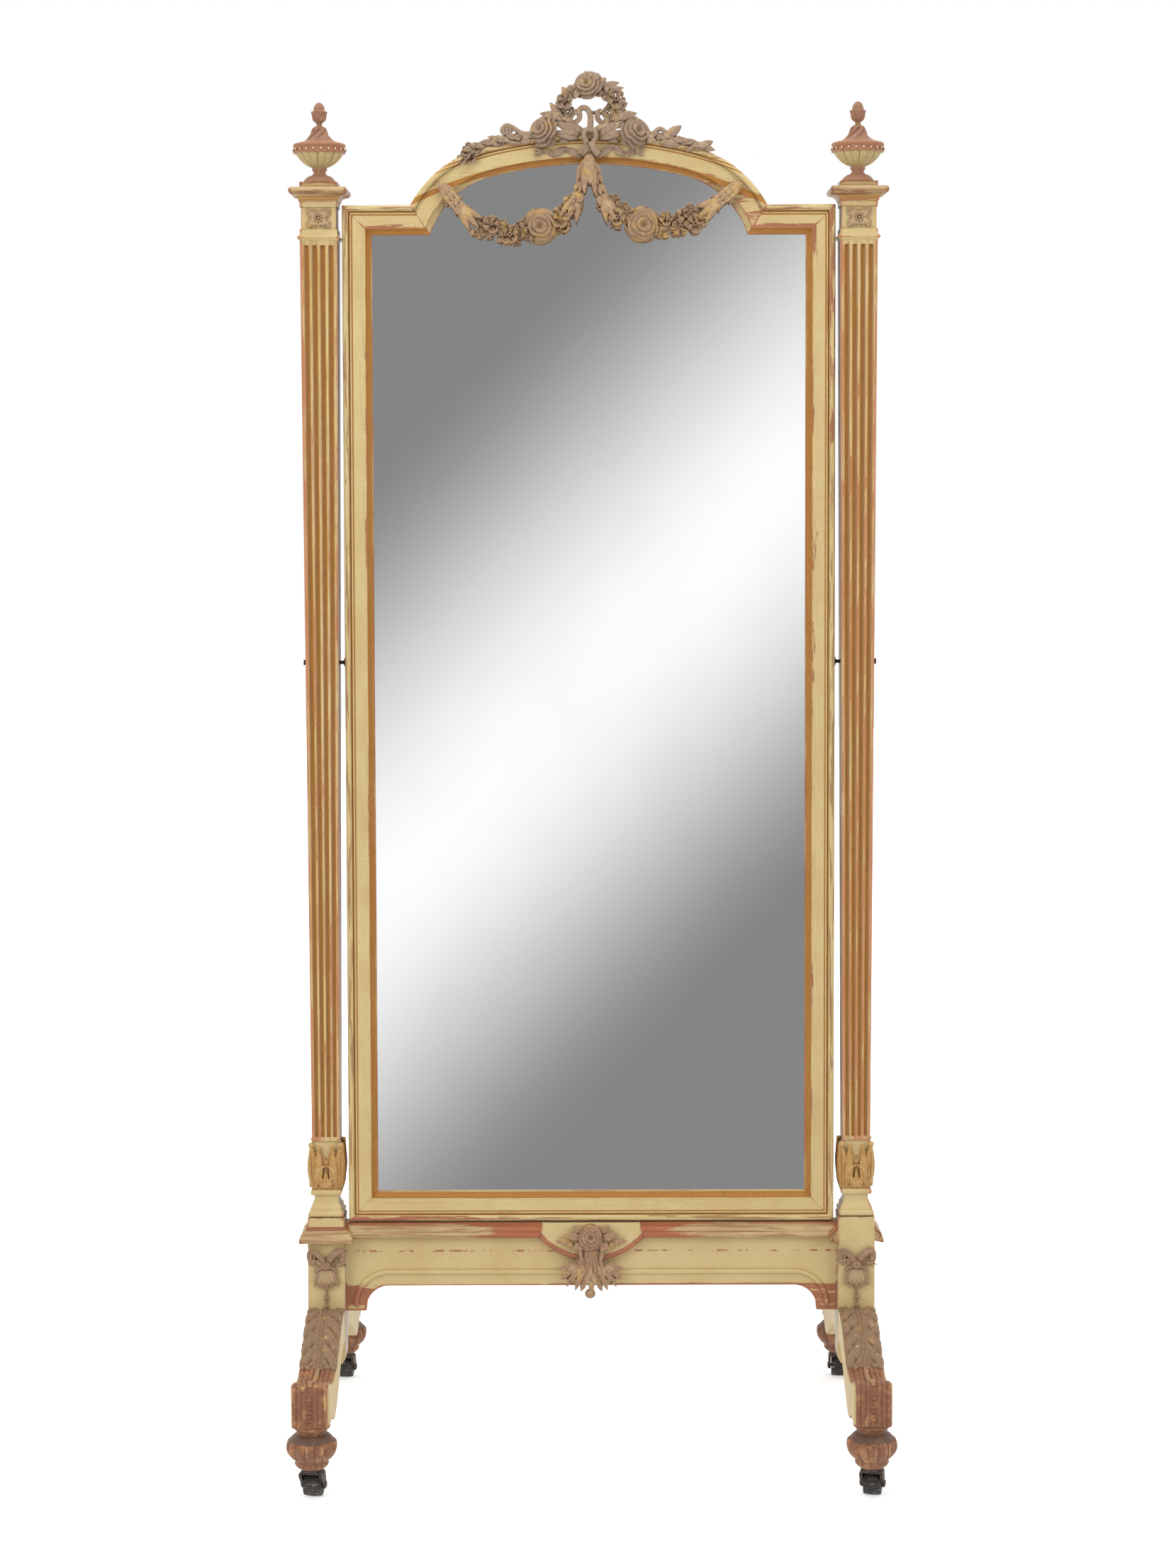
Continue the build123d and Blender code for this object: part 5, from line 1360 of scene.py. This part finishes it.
class MIRROR_OT_carve_crest(bpy.types.Operator):
    """Carve the wreath, roses, sprays and ribbon over the arch"""

    bl_idname = "mirror.carve_crest"
    bl_label = "Carve the crest"

    def execute(self, context):
        palette = context.scene.mirror_colours
        sizes = context.scene.mirror_sizes
        rng = random.Random(5)
        carving = Carving()
        y = -17.0

        def spot(x, z, forward=0.0):
            return at(x, y - forward, z)

        # Wreath
        wreath = []
        for step in range(25):
            angle = -0.95 + step / 24 * (pi + 1.9)
            wreath.append(spot(42 * cos(angle), 2087 + 34 * sin(angle)))
        stem(carving, wreath, 7.0 * MM, cells=(10, 60))
        scatter_leaves(carving, wreath, 22, 16 * MM, 12 * MM, rng, y_lift=4 * MM)
        rose(carving, spot(-1, 2128, 3), 21 * MM, Vector((-0.35, -0.8, 0.35)), turn=0.2)
        blossom(carving, spot(-36, 2103, 9), 13 * MM, Vector((-0.2, -1, 0.1)), 0.4)
        blossom(carving, spot(42, 2105, 9), 15 * MM, Vector((0.2, -1, 0.1)), 0.9)
        blossom(carving, spot(-29, 2088, 8), 8 * MM, Vector((-0.2, -1, 0.1)), 1.4)
        blossom(carving, spot(31, 2088, 8), 9 * MM, Vector((0.2, -1, 0.1)), 0.1)
        for x, z, tip_x, tip_z, wide in (
            (-30, 2108, -41, 2125, 13), (-42, 2076, -60, 2101, 13), (-26, 2114, -46, 2110, 12),
            (20, 2122, 48, 2131, 13), (26, 2116, 55, 2123, 12), (38, 2086, 61, 2100, 15),
            (46, 2080, 58, 2090, 13), (-48, 2076, -56, 2086, 10), (-20, 2119, -31, 2127, 10),
        ):
            root, tip = spot(x, z, 5), spot(tip_x, tip_z, 4)
            leaf(carving, root, tip, wide * MM, rise=0.2, curl=0.15, cells=(6, 9))
        bud(carving, spot(14, 2124, 5), spot(27, 2139, 5), 13 * MM)

        # Roses at the foot of the wreath, opening outwards, with long leaves from the knot
        rose(carving, spot(-71, 2057, 4), 23 * MM, Vector((-0.75, -0.8, 0.4)), turn=0.1)
        rose(carving, spot(73, 2055, 4), 23 * MM, Vector((0.6, -0.9, 0.35)), turn=0.7)
        long_leaves = (
            (8, 2052, 54, 2070, 17), (14, 2046, 60, 2056, 14), (40, 2076, 76, 2084, 16),
            (32, 2070, 58, 2086, 15), (30, 2048, 46, 2040, 12), (50, 2044, 66, 2034, 12),
            (88, 2046, 106, 2040, 14), (20, 2062, 36, 2078, 12), (44, 2084, 22, 2066, 12),
        )
        for hand in (-1, 1):
            for x, z, tip_x, tip_z, wide in long_leaves:
                root, tip = spot(hand * x, z, 4), spot(hand * tip_x, tip_z, 6)
                leaf(carving, root, tip, wide * MM, rise=0.14, curl=0.05, cells=(7, 10))

        # Ribbon loops and knot
        loop = (
            (3, 2050, 6), (14, 2060, 8), (28, 2070, 9), (25, 2082, 9), (16, 2086, 9), (14, 2076, 8),
            (22, 2068, 7),
        )
        for hand in (-1, 1):
            points = [spot(hand * x, z, f) for x, z, f in loop]
            ribbon(carving, points, 9 * MM, lambda t: 0.5 * sin(5 * t), cells=(5, 28))
        path = [(2, 2052, 8), (3, 2068, 9), (3, 2080, 9), (-2, 2090, 9), (-10, 2092, 8), (-17, 2085, 7)]
        stem(carving, [spot(*place) for place in path], 5.0 * MM, 4.2 * MM, cells=(10, 30))
        stem(carving, [spot(2, 2085, 4), spot(28, 2085, 4)], 3 * MM)
        knot = ((1, 2059, 9), (8, 2056, 12), (9, 2046, 13), (3, 2038, 12))
        end = ((2, 2040, 13), (5, 2032, 13), (13, 2020, 9))
        for hand in (-1, 1):
            path = [spot(2 + hand * x, z, f) for x, z, f in knot]
            stem(carving, path, 4.6 * MM, 3.6 * MM, cells=(10, 18))
            path = [spot(2 + hand * x, z, f) for x, z, f in end]
            ribbon(carving, path, 11 * MM, lambda t: 0.5 * t, cells=(5, 12))

        # Ribbon tails on the face of the arch, with forked ends
        tail = (
            (5, 2026), (16, 2019), (26, 2026), (38, 2033), (48, 2024), (58, 2020), (70, 2027), (82, 2026),
        )
        for hand in (-1, 1):
            points = [at(hand * x, -19.5 - 1.8 * sin(k * 1.9), z) for k, (x, z) in enumerate(tail)]
            ribbon(carving, points, 10.5 * MM, lambda t: 0.8 * sin(11 * t), cells=(5, 44))
            for rise in (-7, 7):
                root, tip = at(hand * 72, -20, 2026), at(hand * 86, -20, 2025 + rise)
                leaf(carving, root, tip, 6 * MM, rise=0.1, cells=(4, 6))

        # Sprays along the arch
        crown = crown_radius() / MM

        def on_arch(x, up, forward=0.0):
            """A place at x across, up above the outer edge of the arch."""
            return spot(x, CROWN_Z / MM - crown + sqrt((crown + up) ** 2 - x * x), forward)

        for hand in (-1, 1):
            line = [on_arch(hand * x, 4.5) for x in range(50, 200, 12)]
            stem(carving, line, 6.5 * MM, 5 * MM, cells=(10, 30))
            for k in range(11):
                x = 88 + k * 9.6
                up = 9 if k % 2 else 3
                root, tip = on_arch(hand * (x - 6), 3, 4), on_arch(hand * (x + 12), up, 6)
                leaf(carving, root, tip, 10 * MM, rise=0.14, cells=(6, 8))
        scrolls = (
            ((-92, 2052), (-106, 2055), (-116, 2062), (-127, 2066), (-134, 2058), (-127, 2050)),
            ((-104, 2038), (-120, 2040), (-131, 2046), (-143, 2047), (-147, 2039), (-140, 2034)),
            ((92, 2042), (100, 2052), (110, 2060), (118, 2055), (117, 2044), (112, 2036)),
            ((150, 2026), (158, 2030), (164, 2037), (168, 2032), (166, 2024)),
        )
        eyes = (((-124, 2058), 8), ((-138, 2040), 8), ((113, 2040), 6), ((168, 2036), 4))
        for path, (eye, radius) in zip(scrolls, eyes):
            stem(carving, [spot(x, z, 4) for x, z in path], 4.0 * MM, 3.2 * MM, cells=(10, 24))
            blossom(carving, spot(*eye, 3), radius * MM, Vector((-0.1, -1, 0)), petals=4)
        cluster = (
            (-184, 2029, 11), (-171, 2028, 8), (-196, 2015, 8), (-181, 2018, 9), (-190, 2022, 8),
        )
        for x, z, radius in cluster:
            blossom(carving, spot(x, z, 3), radius * MM, Vector((-0.3, -1, 0.2)), rng.uniform(0, 2))
        leaf(carving, spot(-142, 2046, 4), spot(-157, 2048, 4), 7 * MM, cells=(4, 6))
        for x, z, tip_x, tip_z, wide in (
            (118, 2046, 144, 2065, 15), (112, 2040, 142, 2034, 14), (168, 2030, 193, 2041, 13),
        ):
            bud(carving, spot(x, z, 5), spot(tip_x, tip_z, 5), wide * MM)
        leaf(carving, spot(130, 2042, 5), spot(157, 2043, 5), 10 * MM, rise=0.15, cells=(6, 8))
        bm = carving.finish(sizes.leaf_thickness)
        material = carved_finish(
            "crest_finish", palette, gold=0.25, ground=srgb(146, 120, 98), light=srgb(172, 146, 122)
        )
        add_piece("crest_carving", bm, material, "mirror", ["crest"])
        return {"FINISHED"}


class MIRROR_OT_carve_swags(bpy.types.Operator):
    """Carve the two flower garlands and the husk drop between them"""

    bl_idname = "mirror.carve_swags"
    bl_label = "Carve the swags"

    def execute(self, context):
        palette = context.scene.mirror_colours
        sizes = context.scene.mirror_sizes
        material = carved_finish("swag_finish", palette, gold=0.42)
        routes = {
            "left": [
                (-5, 2006), (-8, 1985), (-17, 1958), (-30, 1934), (-52, 1919), (-84, 1908), (-117, 1902),
                (-150, 1906), (-180, 1921), (-201, 1941), (-215, 1957), (-226, 1971),
            ],
            "right": [
                (5, 2006), (12, 1980), (22, 1955), (38, 1934), (60, 1920), (84, 1912), (118, 1910),
                (150, 1917), (178, 1932), (203, 1950), (219, 1963), (230, 1972),
            ],
        }
        flowers = {
            "left": [
                (-75, 1911, 24, "rose"), (-45, 1921, 13, ""), (-30, 1938, 11, ""), (-19, 1938, 10, ""),
                (-104, 1904, 12, ""), (-121, 1897, 14, ""), (-137, 1908, 12, ""), (-152, 1913, 14, ""),
                (-92, 1899, 11, ""), (-38, 1910, 10, ""),
            ],
            "right": [
                (84, 1913, 24, "rose"), (43, 1924, 13, ""), (50, 1938, 12, ""), (40, 1951, 10, ""),
                (142, 1910, 14, ""), (164, 1913, 14, ""), (159, 1934, 13, ""), (119, 1922, 11, ""),
                (128, 1917, 11, ""), (60, 1932, 11, ""), (176, 1922, 10, ""),
            ],
        }
        for side, sign in SIDES.items():
            rng = random.Random(21 if sign < 0 else 34)
            carving = Carving()
            y = -22.0
            line = [at(x, y, z) for x, z in routes[side]]
            stem(carving, line, 6.0 * MM, 7.0 * MM, cells=(12, 60))
            for x, z, radius, kind in flowers[side]:
                if kind == "rose":
                    lean = Vector((sign * 0.1, -1, -0.1))
                    rose(carving, at(x, y - 5, z), radius * MM, lean, turn=rng.uniform(0, 1))
                else:
                    lean = Vector((rng.uniform(-0.4, 0.4), -1, rng.uniform(-0.4, 0.3)))
                    blossom(carving, at(x, y - 6, z), radius * MM, lean, rng.uniform(0, 1))
            for index in range(30):
                t = 0.20 + 0.52 * (index + 0.5) / 30
                side_way = direction(line, t).cross(FRONT).normalized()
                off = (-1 if index % 2 else 1) * rng.uniform(4, 12)
                place = along(line, t) + side_way * off * MM + FRONT * rng.uniform(1, 4) * MM
                lean = Vector((rng.uniform(-0.5, 0.5), -1, rng.uniform(-0.5, 0.5)))
                lean += side_way * off * 0.04
                if index % 3 == 2:
                    ahead = direction(line, t) * 8 * rng.choice((-1, 1))
                    tip = place + (side_way * off * 0.8 + ahead) * MM
                    leaf(carving, place, tip + FRONT * 2 * MM, 10 * MM, rise=0.2, cells=(6, 8))
                else:
                    blossom(carving, place, rng.uniform(7, 10) * MM, lean, rng.uniform(0, 1))
            # Husks wrap both ends, then long pointed leaves run into the flowers
            for start, end in ((0.0, 0.24), (1.0, 0.76)):
                for k in range(4):
                    foot = along(line, start + (end - start) * 0.22 * k)
                    ahead = direction(line, (start + end) / 2) * (1 if end > start else -1)
                    for hand in (-1, 0, 1):
                        side_way = ahead.cross(FRONT).normalized()
                        out = FRONT * (7 - 2 * abs(hand)) * MM
                        tip = foot + ahead * 20 * MM + side_way * hand * 8 * MM + out
                        root = foot + side_way * hand * 4 * MM + FRONT * 5 * MM
                        leaf(carving, root, tip, 9 * MM, rise=0.08, curl=0.08, ribs=1, cells=(6, 10))
                for hand, reach in ((-1, 0.62), (0, 0.7), (1, 0.6), (-0.4, 0.5)):
                    middle = start + (end - start) * 0.75
                    root = along(line, middle) + FRONT * 5 * MM
                    ahead = direction(line, middle) * (1 if end > start else -1)
                    side_way = ahead.cross(FRONT).normalized()
                    tip = root + ahead * reach * 68 * MM + side_way * hand * 15 * MM + FRONT * 2 * MM
                    leaf(carving, root, tip, 11 * MM, rise=0.08, curl=0.02, ribs=1, cells=(7, 12))
                carving.bead(along(line, start), 8.0 * MM, (1, 0.9, 1), rounds=3)
            for t, turn in ((0.80, 1.0), (0.82, -1.0), (0.88, 1.0), (0.90, -1.0)):
                here = along(line, t)
                side_way = direction(line, t).cross(FRONT).normalized()
                tip = here + (side_way * turn * 15 - direction(line, t) * 6) * MM
                leaf(carving, here + FRONT * 3 * MM, tip, 5 * MM, rise=0.1, cells=(4, 6))
            bm = carving.finish(sizes.leaf_thickness)
            add_piece(f"{side}_garland", bm, material, "mirror", [f"{side}_swag"])

        carving = Carving()
        top, low = 2019, 1948
        for x, tip_x, tip_z, wide, lift in (
            (-5, -13, 1984, 9, 0), (5, 14, 1983, 9, 0), (-3, -8, 1960, 13, 1), (4, 10, 1958, 13, 1),
            (0, 2, 1974, 20, 3),
        ):
            root = at(x, -27 - lift, top - 6)
            leaf(carving, root, at(tip_x, -28 - lift, tip_z), wide * MM, rise=0.10, ribs=3, cells=(8, 16))
        carving.bead(at(1, -27, top - 8), 9 * MM, (1, 0.7, 1.2), rounds=3)
        stem(carving, [at(0, -25, top - 10), at(1, -25, low + 26)], 6 * MM, 4 * MM, cells=(8, 14))
        bm = carving.finish(sizes.leaf_thickness)
        add_piece("centre_husk", bm, material, "mirror", ["husk_drop"])
        return {"FINISHED"}


# Studio


SHIFT = (-0.0012, -0.0727)  # of the picture, as shares of its longer side


def stage_piece(name, bm, material):
    mesh = bpy.data.meshes.new(name)
    bm.to_mesh(mesh)
    bm.free()
    mesh.materials.append(material)
    piece = bpy.data.objects.new(name, mesh)
    bpy.context.scene.collection.objects.link(piece)
    return piece


class MIRROR_OT_set_studio(bpy.types.Operator):
    """Set up the floor, the lights, the reflected card and the camera"""

    bl_idname = "mirror.set_studio"
    bl_label = "Set the studio"

    def execute(self, context):
        scene = context.scene
        studio = scene.mirror_studio
        scene.view_settings.view_transform = "Standard"
        self.add_floor()
        self.add_card()
        self.add_world(studio)
        self.add_lights(studio)
        self.add_camera(scene, studio)
        return {"FINISHED"}

    def add_floor(self):
        floor_half = 14.0
        bm = bmesh.new()
        bmesh.ops.create_grid(bm, x_segments=4, y_segments=4, size=floor_half)
        finish = Finish("floor_finish", roughness=0.9)
        tone = finish.noise(2, detail=2)
        finish.colour(finish.mix(tone, (0.80, 0.80, 0.80), (0.83, 0.83, 0.83)))
        rays = finish.node("ShaderNodeLightPath").outputs
        x, y, _ = finish.axes()
        squares = finish.math("ADD", finish.math("POWER", x, 2.0), finish.math("POWER", y, 2.0))
        away = {"Value": finish.math("SQRT", squares), "From Min": 0.9, "From Max": 1.6}
        glows = {"To Min": 0.50, "To Max": 1.0}
        strength = finish.node("ShaderNodeMapRange", {"clamp": True}, {**away, **glows}).outputs[0]
        inputs = {"Color": (1, 1, 1, 1), "Strength": strength}
        glow = finish.node("ShaderNodeEmission", None, inputs).outputs[0]
        plain = finish.shader.outputs[0]
        both = finish.node("ShaderNodeAddShader", None, {0: plain, 1: glow}).outputs[0]
        seen = finish.math("MAXIMUM", rays["Is Camera Ray"], rays["Is Glossy Ray"])
        seen = finish.math("MAXIMUM", seen, rays["Is Transmission Ray"])
        chosen = finish.node("ShaderNodeMixShader", None, {0: seen, 1: plain, 2: both})
        finish.show(chosen.outputs[0])
        stage_piece("floor", bm, finish.material)

    def add_card(self):
        """What the glass shows: grey with a broad light band from lower left to upper right.

        The band's middle rises from its low point at the middle of the card, and it fades over its half
        width from its light to the grey beside it.
        """
        low_point, slope, half_width = 1.132, 0.99, 0.839
        light, grey = 1.04, 0.25
        bm = bmesh.new()
        bmesh.ops.create_grid(bm, x_segments=2, y_segments=2, size=1)
        bmesh.ops.scale(bm, vec=(1.6, 1.5, 1), verts=bm.verts)
        bmesh.ops.rotate(bm, cent=(0, 0, 0), matrix=Matrix.Rotation(pi / 2, 3, "X"), verts=bm.verts)
        bmesh.ops.translate(bm, vec=(0, -1.1, 1.45), verts=bm.verts)
        finish = Finish("card_finish")
        x, _, z = finish.axes()
        rise = finish.math("ADD", z, finish.math("MULTIPLY", x, -slope))
        away = finish.math("ABSOLUTE", finish.math("SUBTRACT", rise, low_point))
        smooth = {"clamp": True, "interpolation_type": "SMOOTHSTEP"}
        ramp = finish.node("ShaderNodeMapRange", smooth, {
            "Value": away, "From Min": 0.0, "From Max": half_width, "To Min": light, "To Max": grey,
        }).outputs[0]
        finish.show(finish.node("ShaderNodeEmission", None, {"Strength": ramp}).outputs[0])
        card = stage_piece("reflected_card", bm, finish.material)
        card.visible_camera = False
        card.visible_diffuse = False
        card.visible_shadow = False
        card.visible_transmission = False
        card.visible_volume_scatter = False

    def add_world(self, studio):
        world = bpy.data.worlds.new("studio_world")
        bpy.context.scene.world = world
        world.use_nodes = True
        tree = world.node_tree
        sky = tree.nodes["Background"]
        sky.inputs["Color"].default_value = (1, 1, 1, 1)
        sky.inputs["Strength"].default_value = studio.sky
        backdrop = tree.nodes.new("ShaderNodeBackground")
        backdrop.inputs["Strength"].default_value = 1.0
        backdrop.inputs["Color"].default_value = (1, 1, 1, 1)
        rays = tree.nodes.new("ShaderNodeLightPath")
        seen = rays.outputs["Is Camera Ray"]
        for kind in ("Is Glossy Ray", "Is Transmission Ray"):
            either = tree.nodes.new("ShaderNodeMath")
            either.operation = "MAXIMUM"
            tree.links.new(seen, either.inputs[0])
            tree.links.new(rays.outputs[kind], either.inputs[1])
            seen = either.outputs[0]
        chosen = tree.nodes.new("ShaderNodeMixShader")
        tree.links.new(seen, chosen.inputs[0])
        tree.links.new(sky.outputs[0], chosen.inputs[1])
        tree.links.new(backdrop.outputs[0], chosen.inputs[2])
        tree.links.new(chosen.outputs[0], tree.nodes["World Output"].inputs["Surface"])

    def add_lights(self, studio):
        middle = Vector((0, 0, 1.1))
        for name, place, size, power in (
            ("key_left", (-2.9, -3.0, 2.8), 2.0, studio.key_power),
            ("fill_right", (3.0, -2.8, 2.2), 2.0, studio.key_power * 0.6),
            ("top", (0.0, -0.6, 4.2), 2.6, studio.key_power * 0.8),
            ("back_left", (-2.6, 3.0, 2.6), 2.0, studio.key_power * 0.5),
            ("back_right", (2.6, 3.0, 2.6), 2.0, studio.key_power * 0.5),
        ):
            lamp = bpy.data.lights.new(name, "AREA")
            lamp.size = size
            lamp.energy = power
            holder = bpy.data.objects.new(name, lamp)
            holder.location = place
            holder.rotation_euler = (middle - Vector(place)).to_track_quat("-Z", "Y").to_euler()
            holder.visible_glossy = False
            bpy.context.scene.collection.objects.link(holder)

    def add_camera(self, scene, studio):
        camera = bpy.data.cameras.new("camera")
        camera.sensor_fit = "VERTICAL"
        camera.sensor_height = 36
        camera.lens = studio.lens
        camera.shift_x, camera.shift_y = SHIFT
        holder = bpy.data.objects.new("camera", camera)
        holder.location = (0, -studio.camera_distance, studio.camera_height)
        level = Matrix.Rotation(pi / 2 - studio.camera_pitch, 4, "X")
        turn = level @ Matrix.Rotation(-studio.camera_roll, 4, "Z")
        holder.rotation_euler = turn.to_euler()
        scene.collection.objects.link(holder)
        scene.camera = holder


OPERATORS = (
    MIRROR_OT_paint_frame,
    MIRROR_OT_paint_stand,
    MIRROR_OT_blacken_iron,
    MIRROR_OT_silver_glass,
    MIRROR_OT_turn_bun_feet,
    MIRROR_OT_carve_legs,
    MIRROR_OT_carve_urns,
    MIRROR_OT_carve_collars,
    MIRROR_OT_carve_rosettes,
    MIRROR_OT_tie_bows,
    MIRROR_OT_carve_rail_ornament,
    MIRROR_OT_carve_crest,
    MIRROR_OT_carve_swags,
    MIRROR_OT_set_studio,
)


class MIRROR_PT_workshop(bpy.types.Panel):
    """Steps of the work, in order"""

    bl_idname = "MIRROR_PT_workshop"
    bl_label = "Cheval Mirror"
    bl_space_type = "VIEW_3D"
    bl_region_type = "UI"
    bl_category = "Cheval Mirror"

    def draw(self, context):
        for group_name in GROUPS:
            group = getattr(context.scene, group_name)
            for name in group.bl_rna.properties.keys():
                if name not in ("rna_type", "name"):
                    self.layout.prop(group, name)
        for step in OPERATORS:
            self.layout.operator(step.bl_idname)


GROUPS = {"mirror_colours": MirrorColours, "mirror_sizes": CarvingSizes, "mirror_studio": StudioSettings}


def register():
    for cls in (*GROUPS.values(), *OPERATORS, MIRROR_PT_workshop):
        bpy.utils.register_class(cls)
    for name, group in GROUPS.items():
        setattr(bpy.types.Scene, name, bpy.props.PointerProperty(type=group))


def unregister():
    for name in GROUPS:
        delattr(bpy.types.Scene, name)
    for cls in reversed((*GROUPS.values(), *OPERATORS, MIRROR_PT_workshop)):
        bpy.utils.unregister_class(cls)


def main():
    register()
    for step in OPERATORS:
        call = step.bl_idname.split(".")[1]
        getattr(bpy.ops.mirror, call)()


if __name__ == "__main__":
    main()
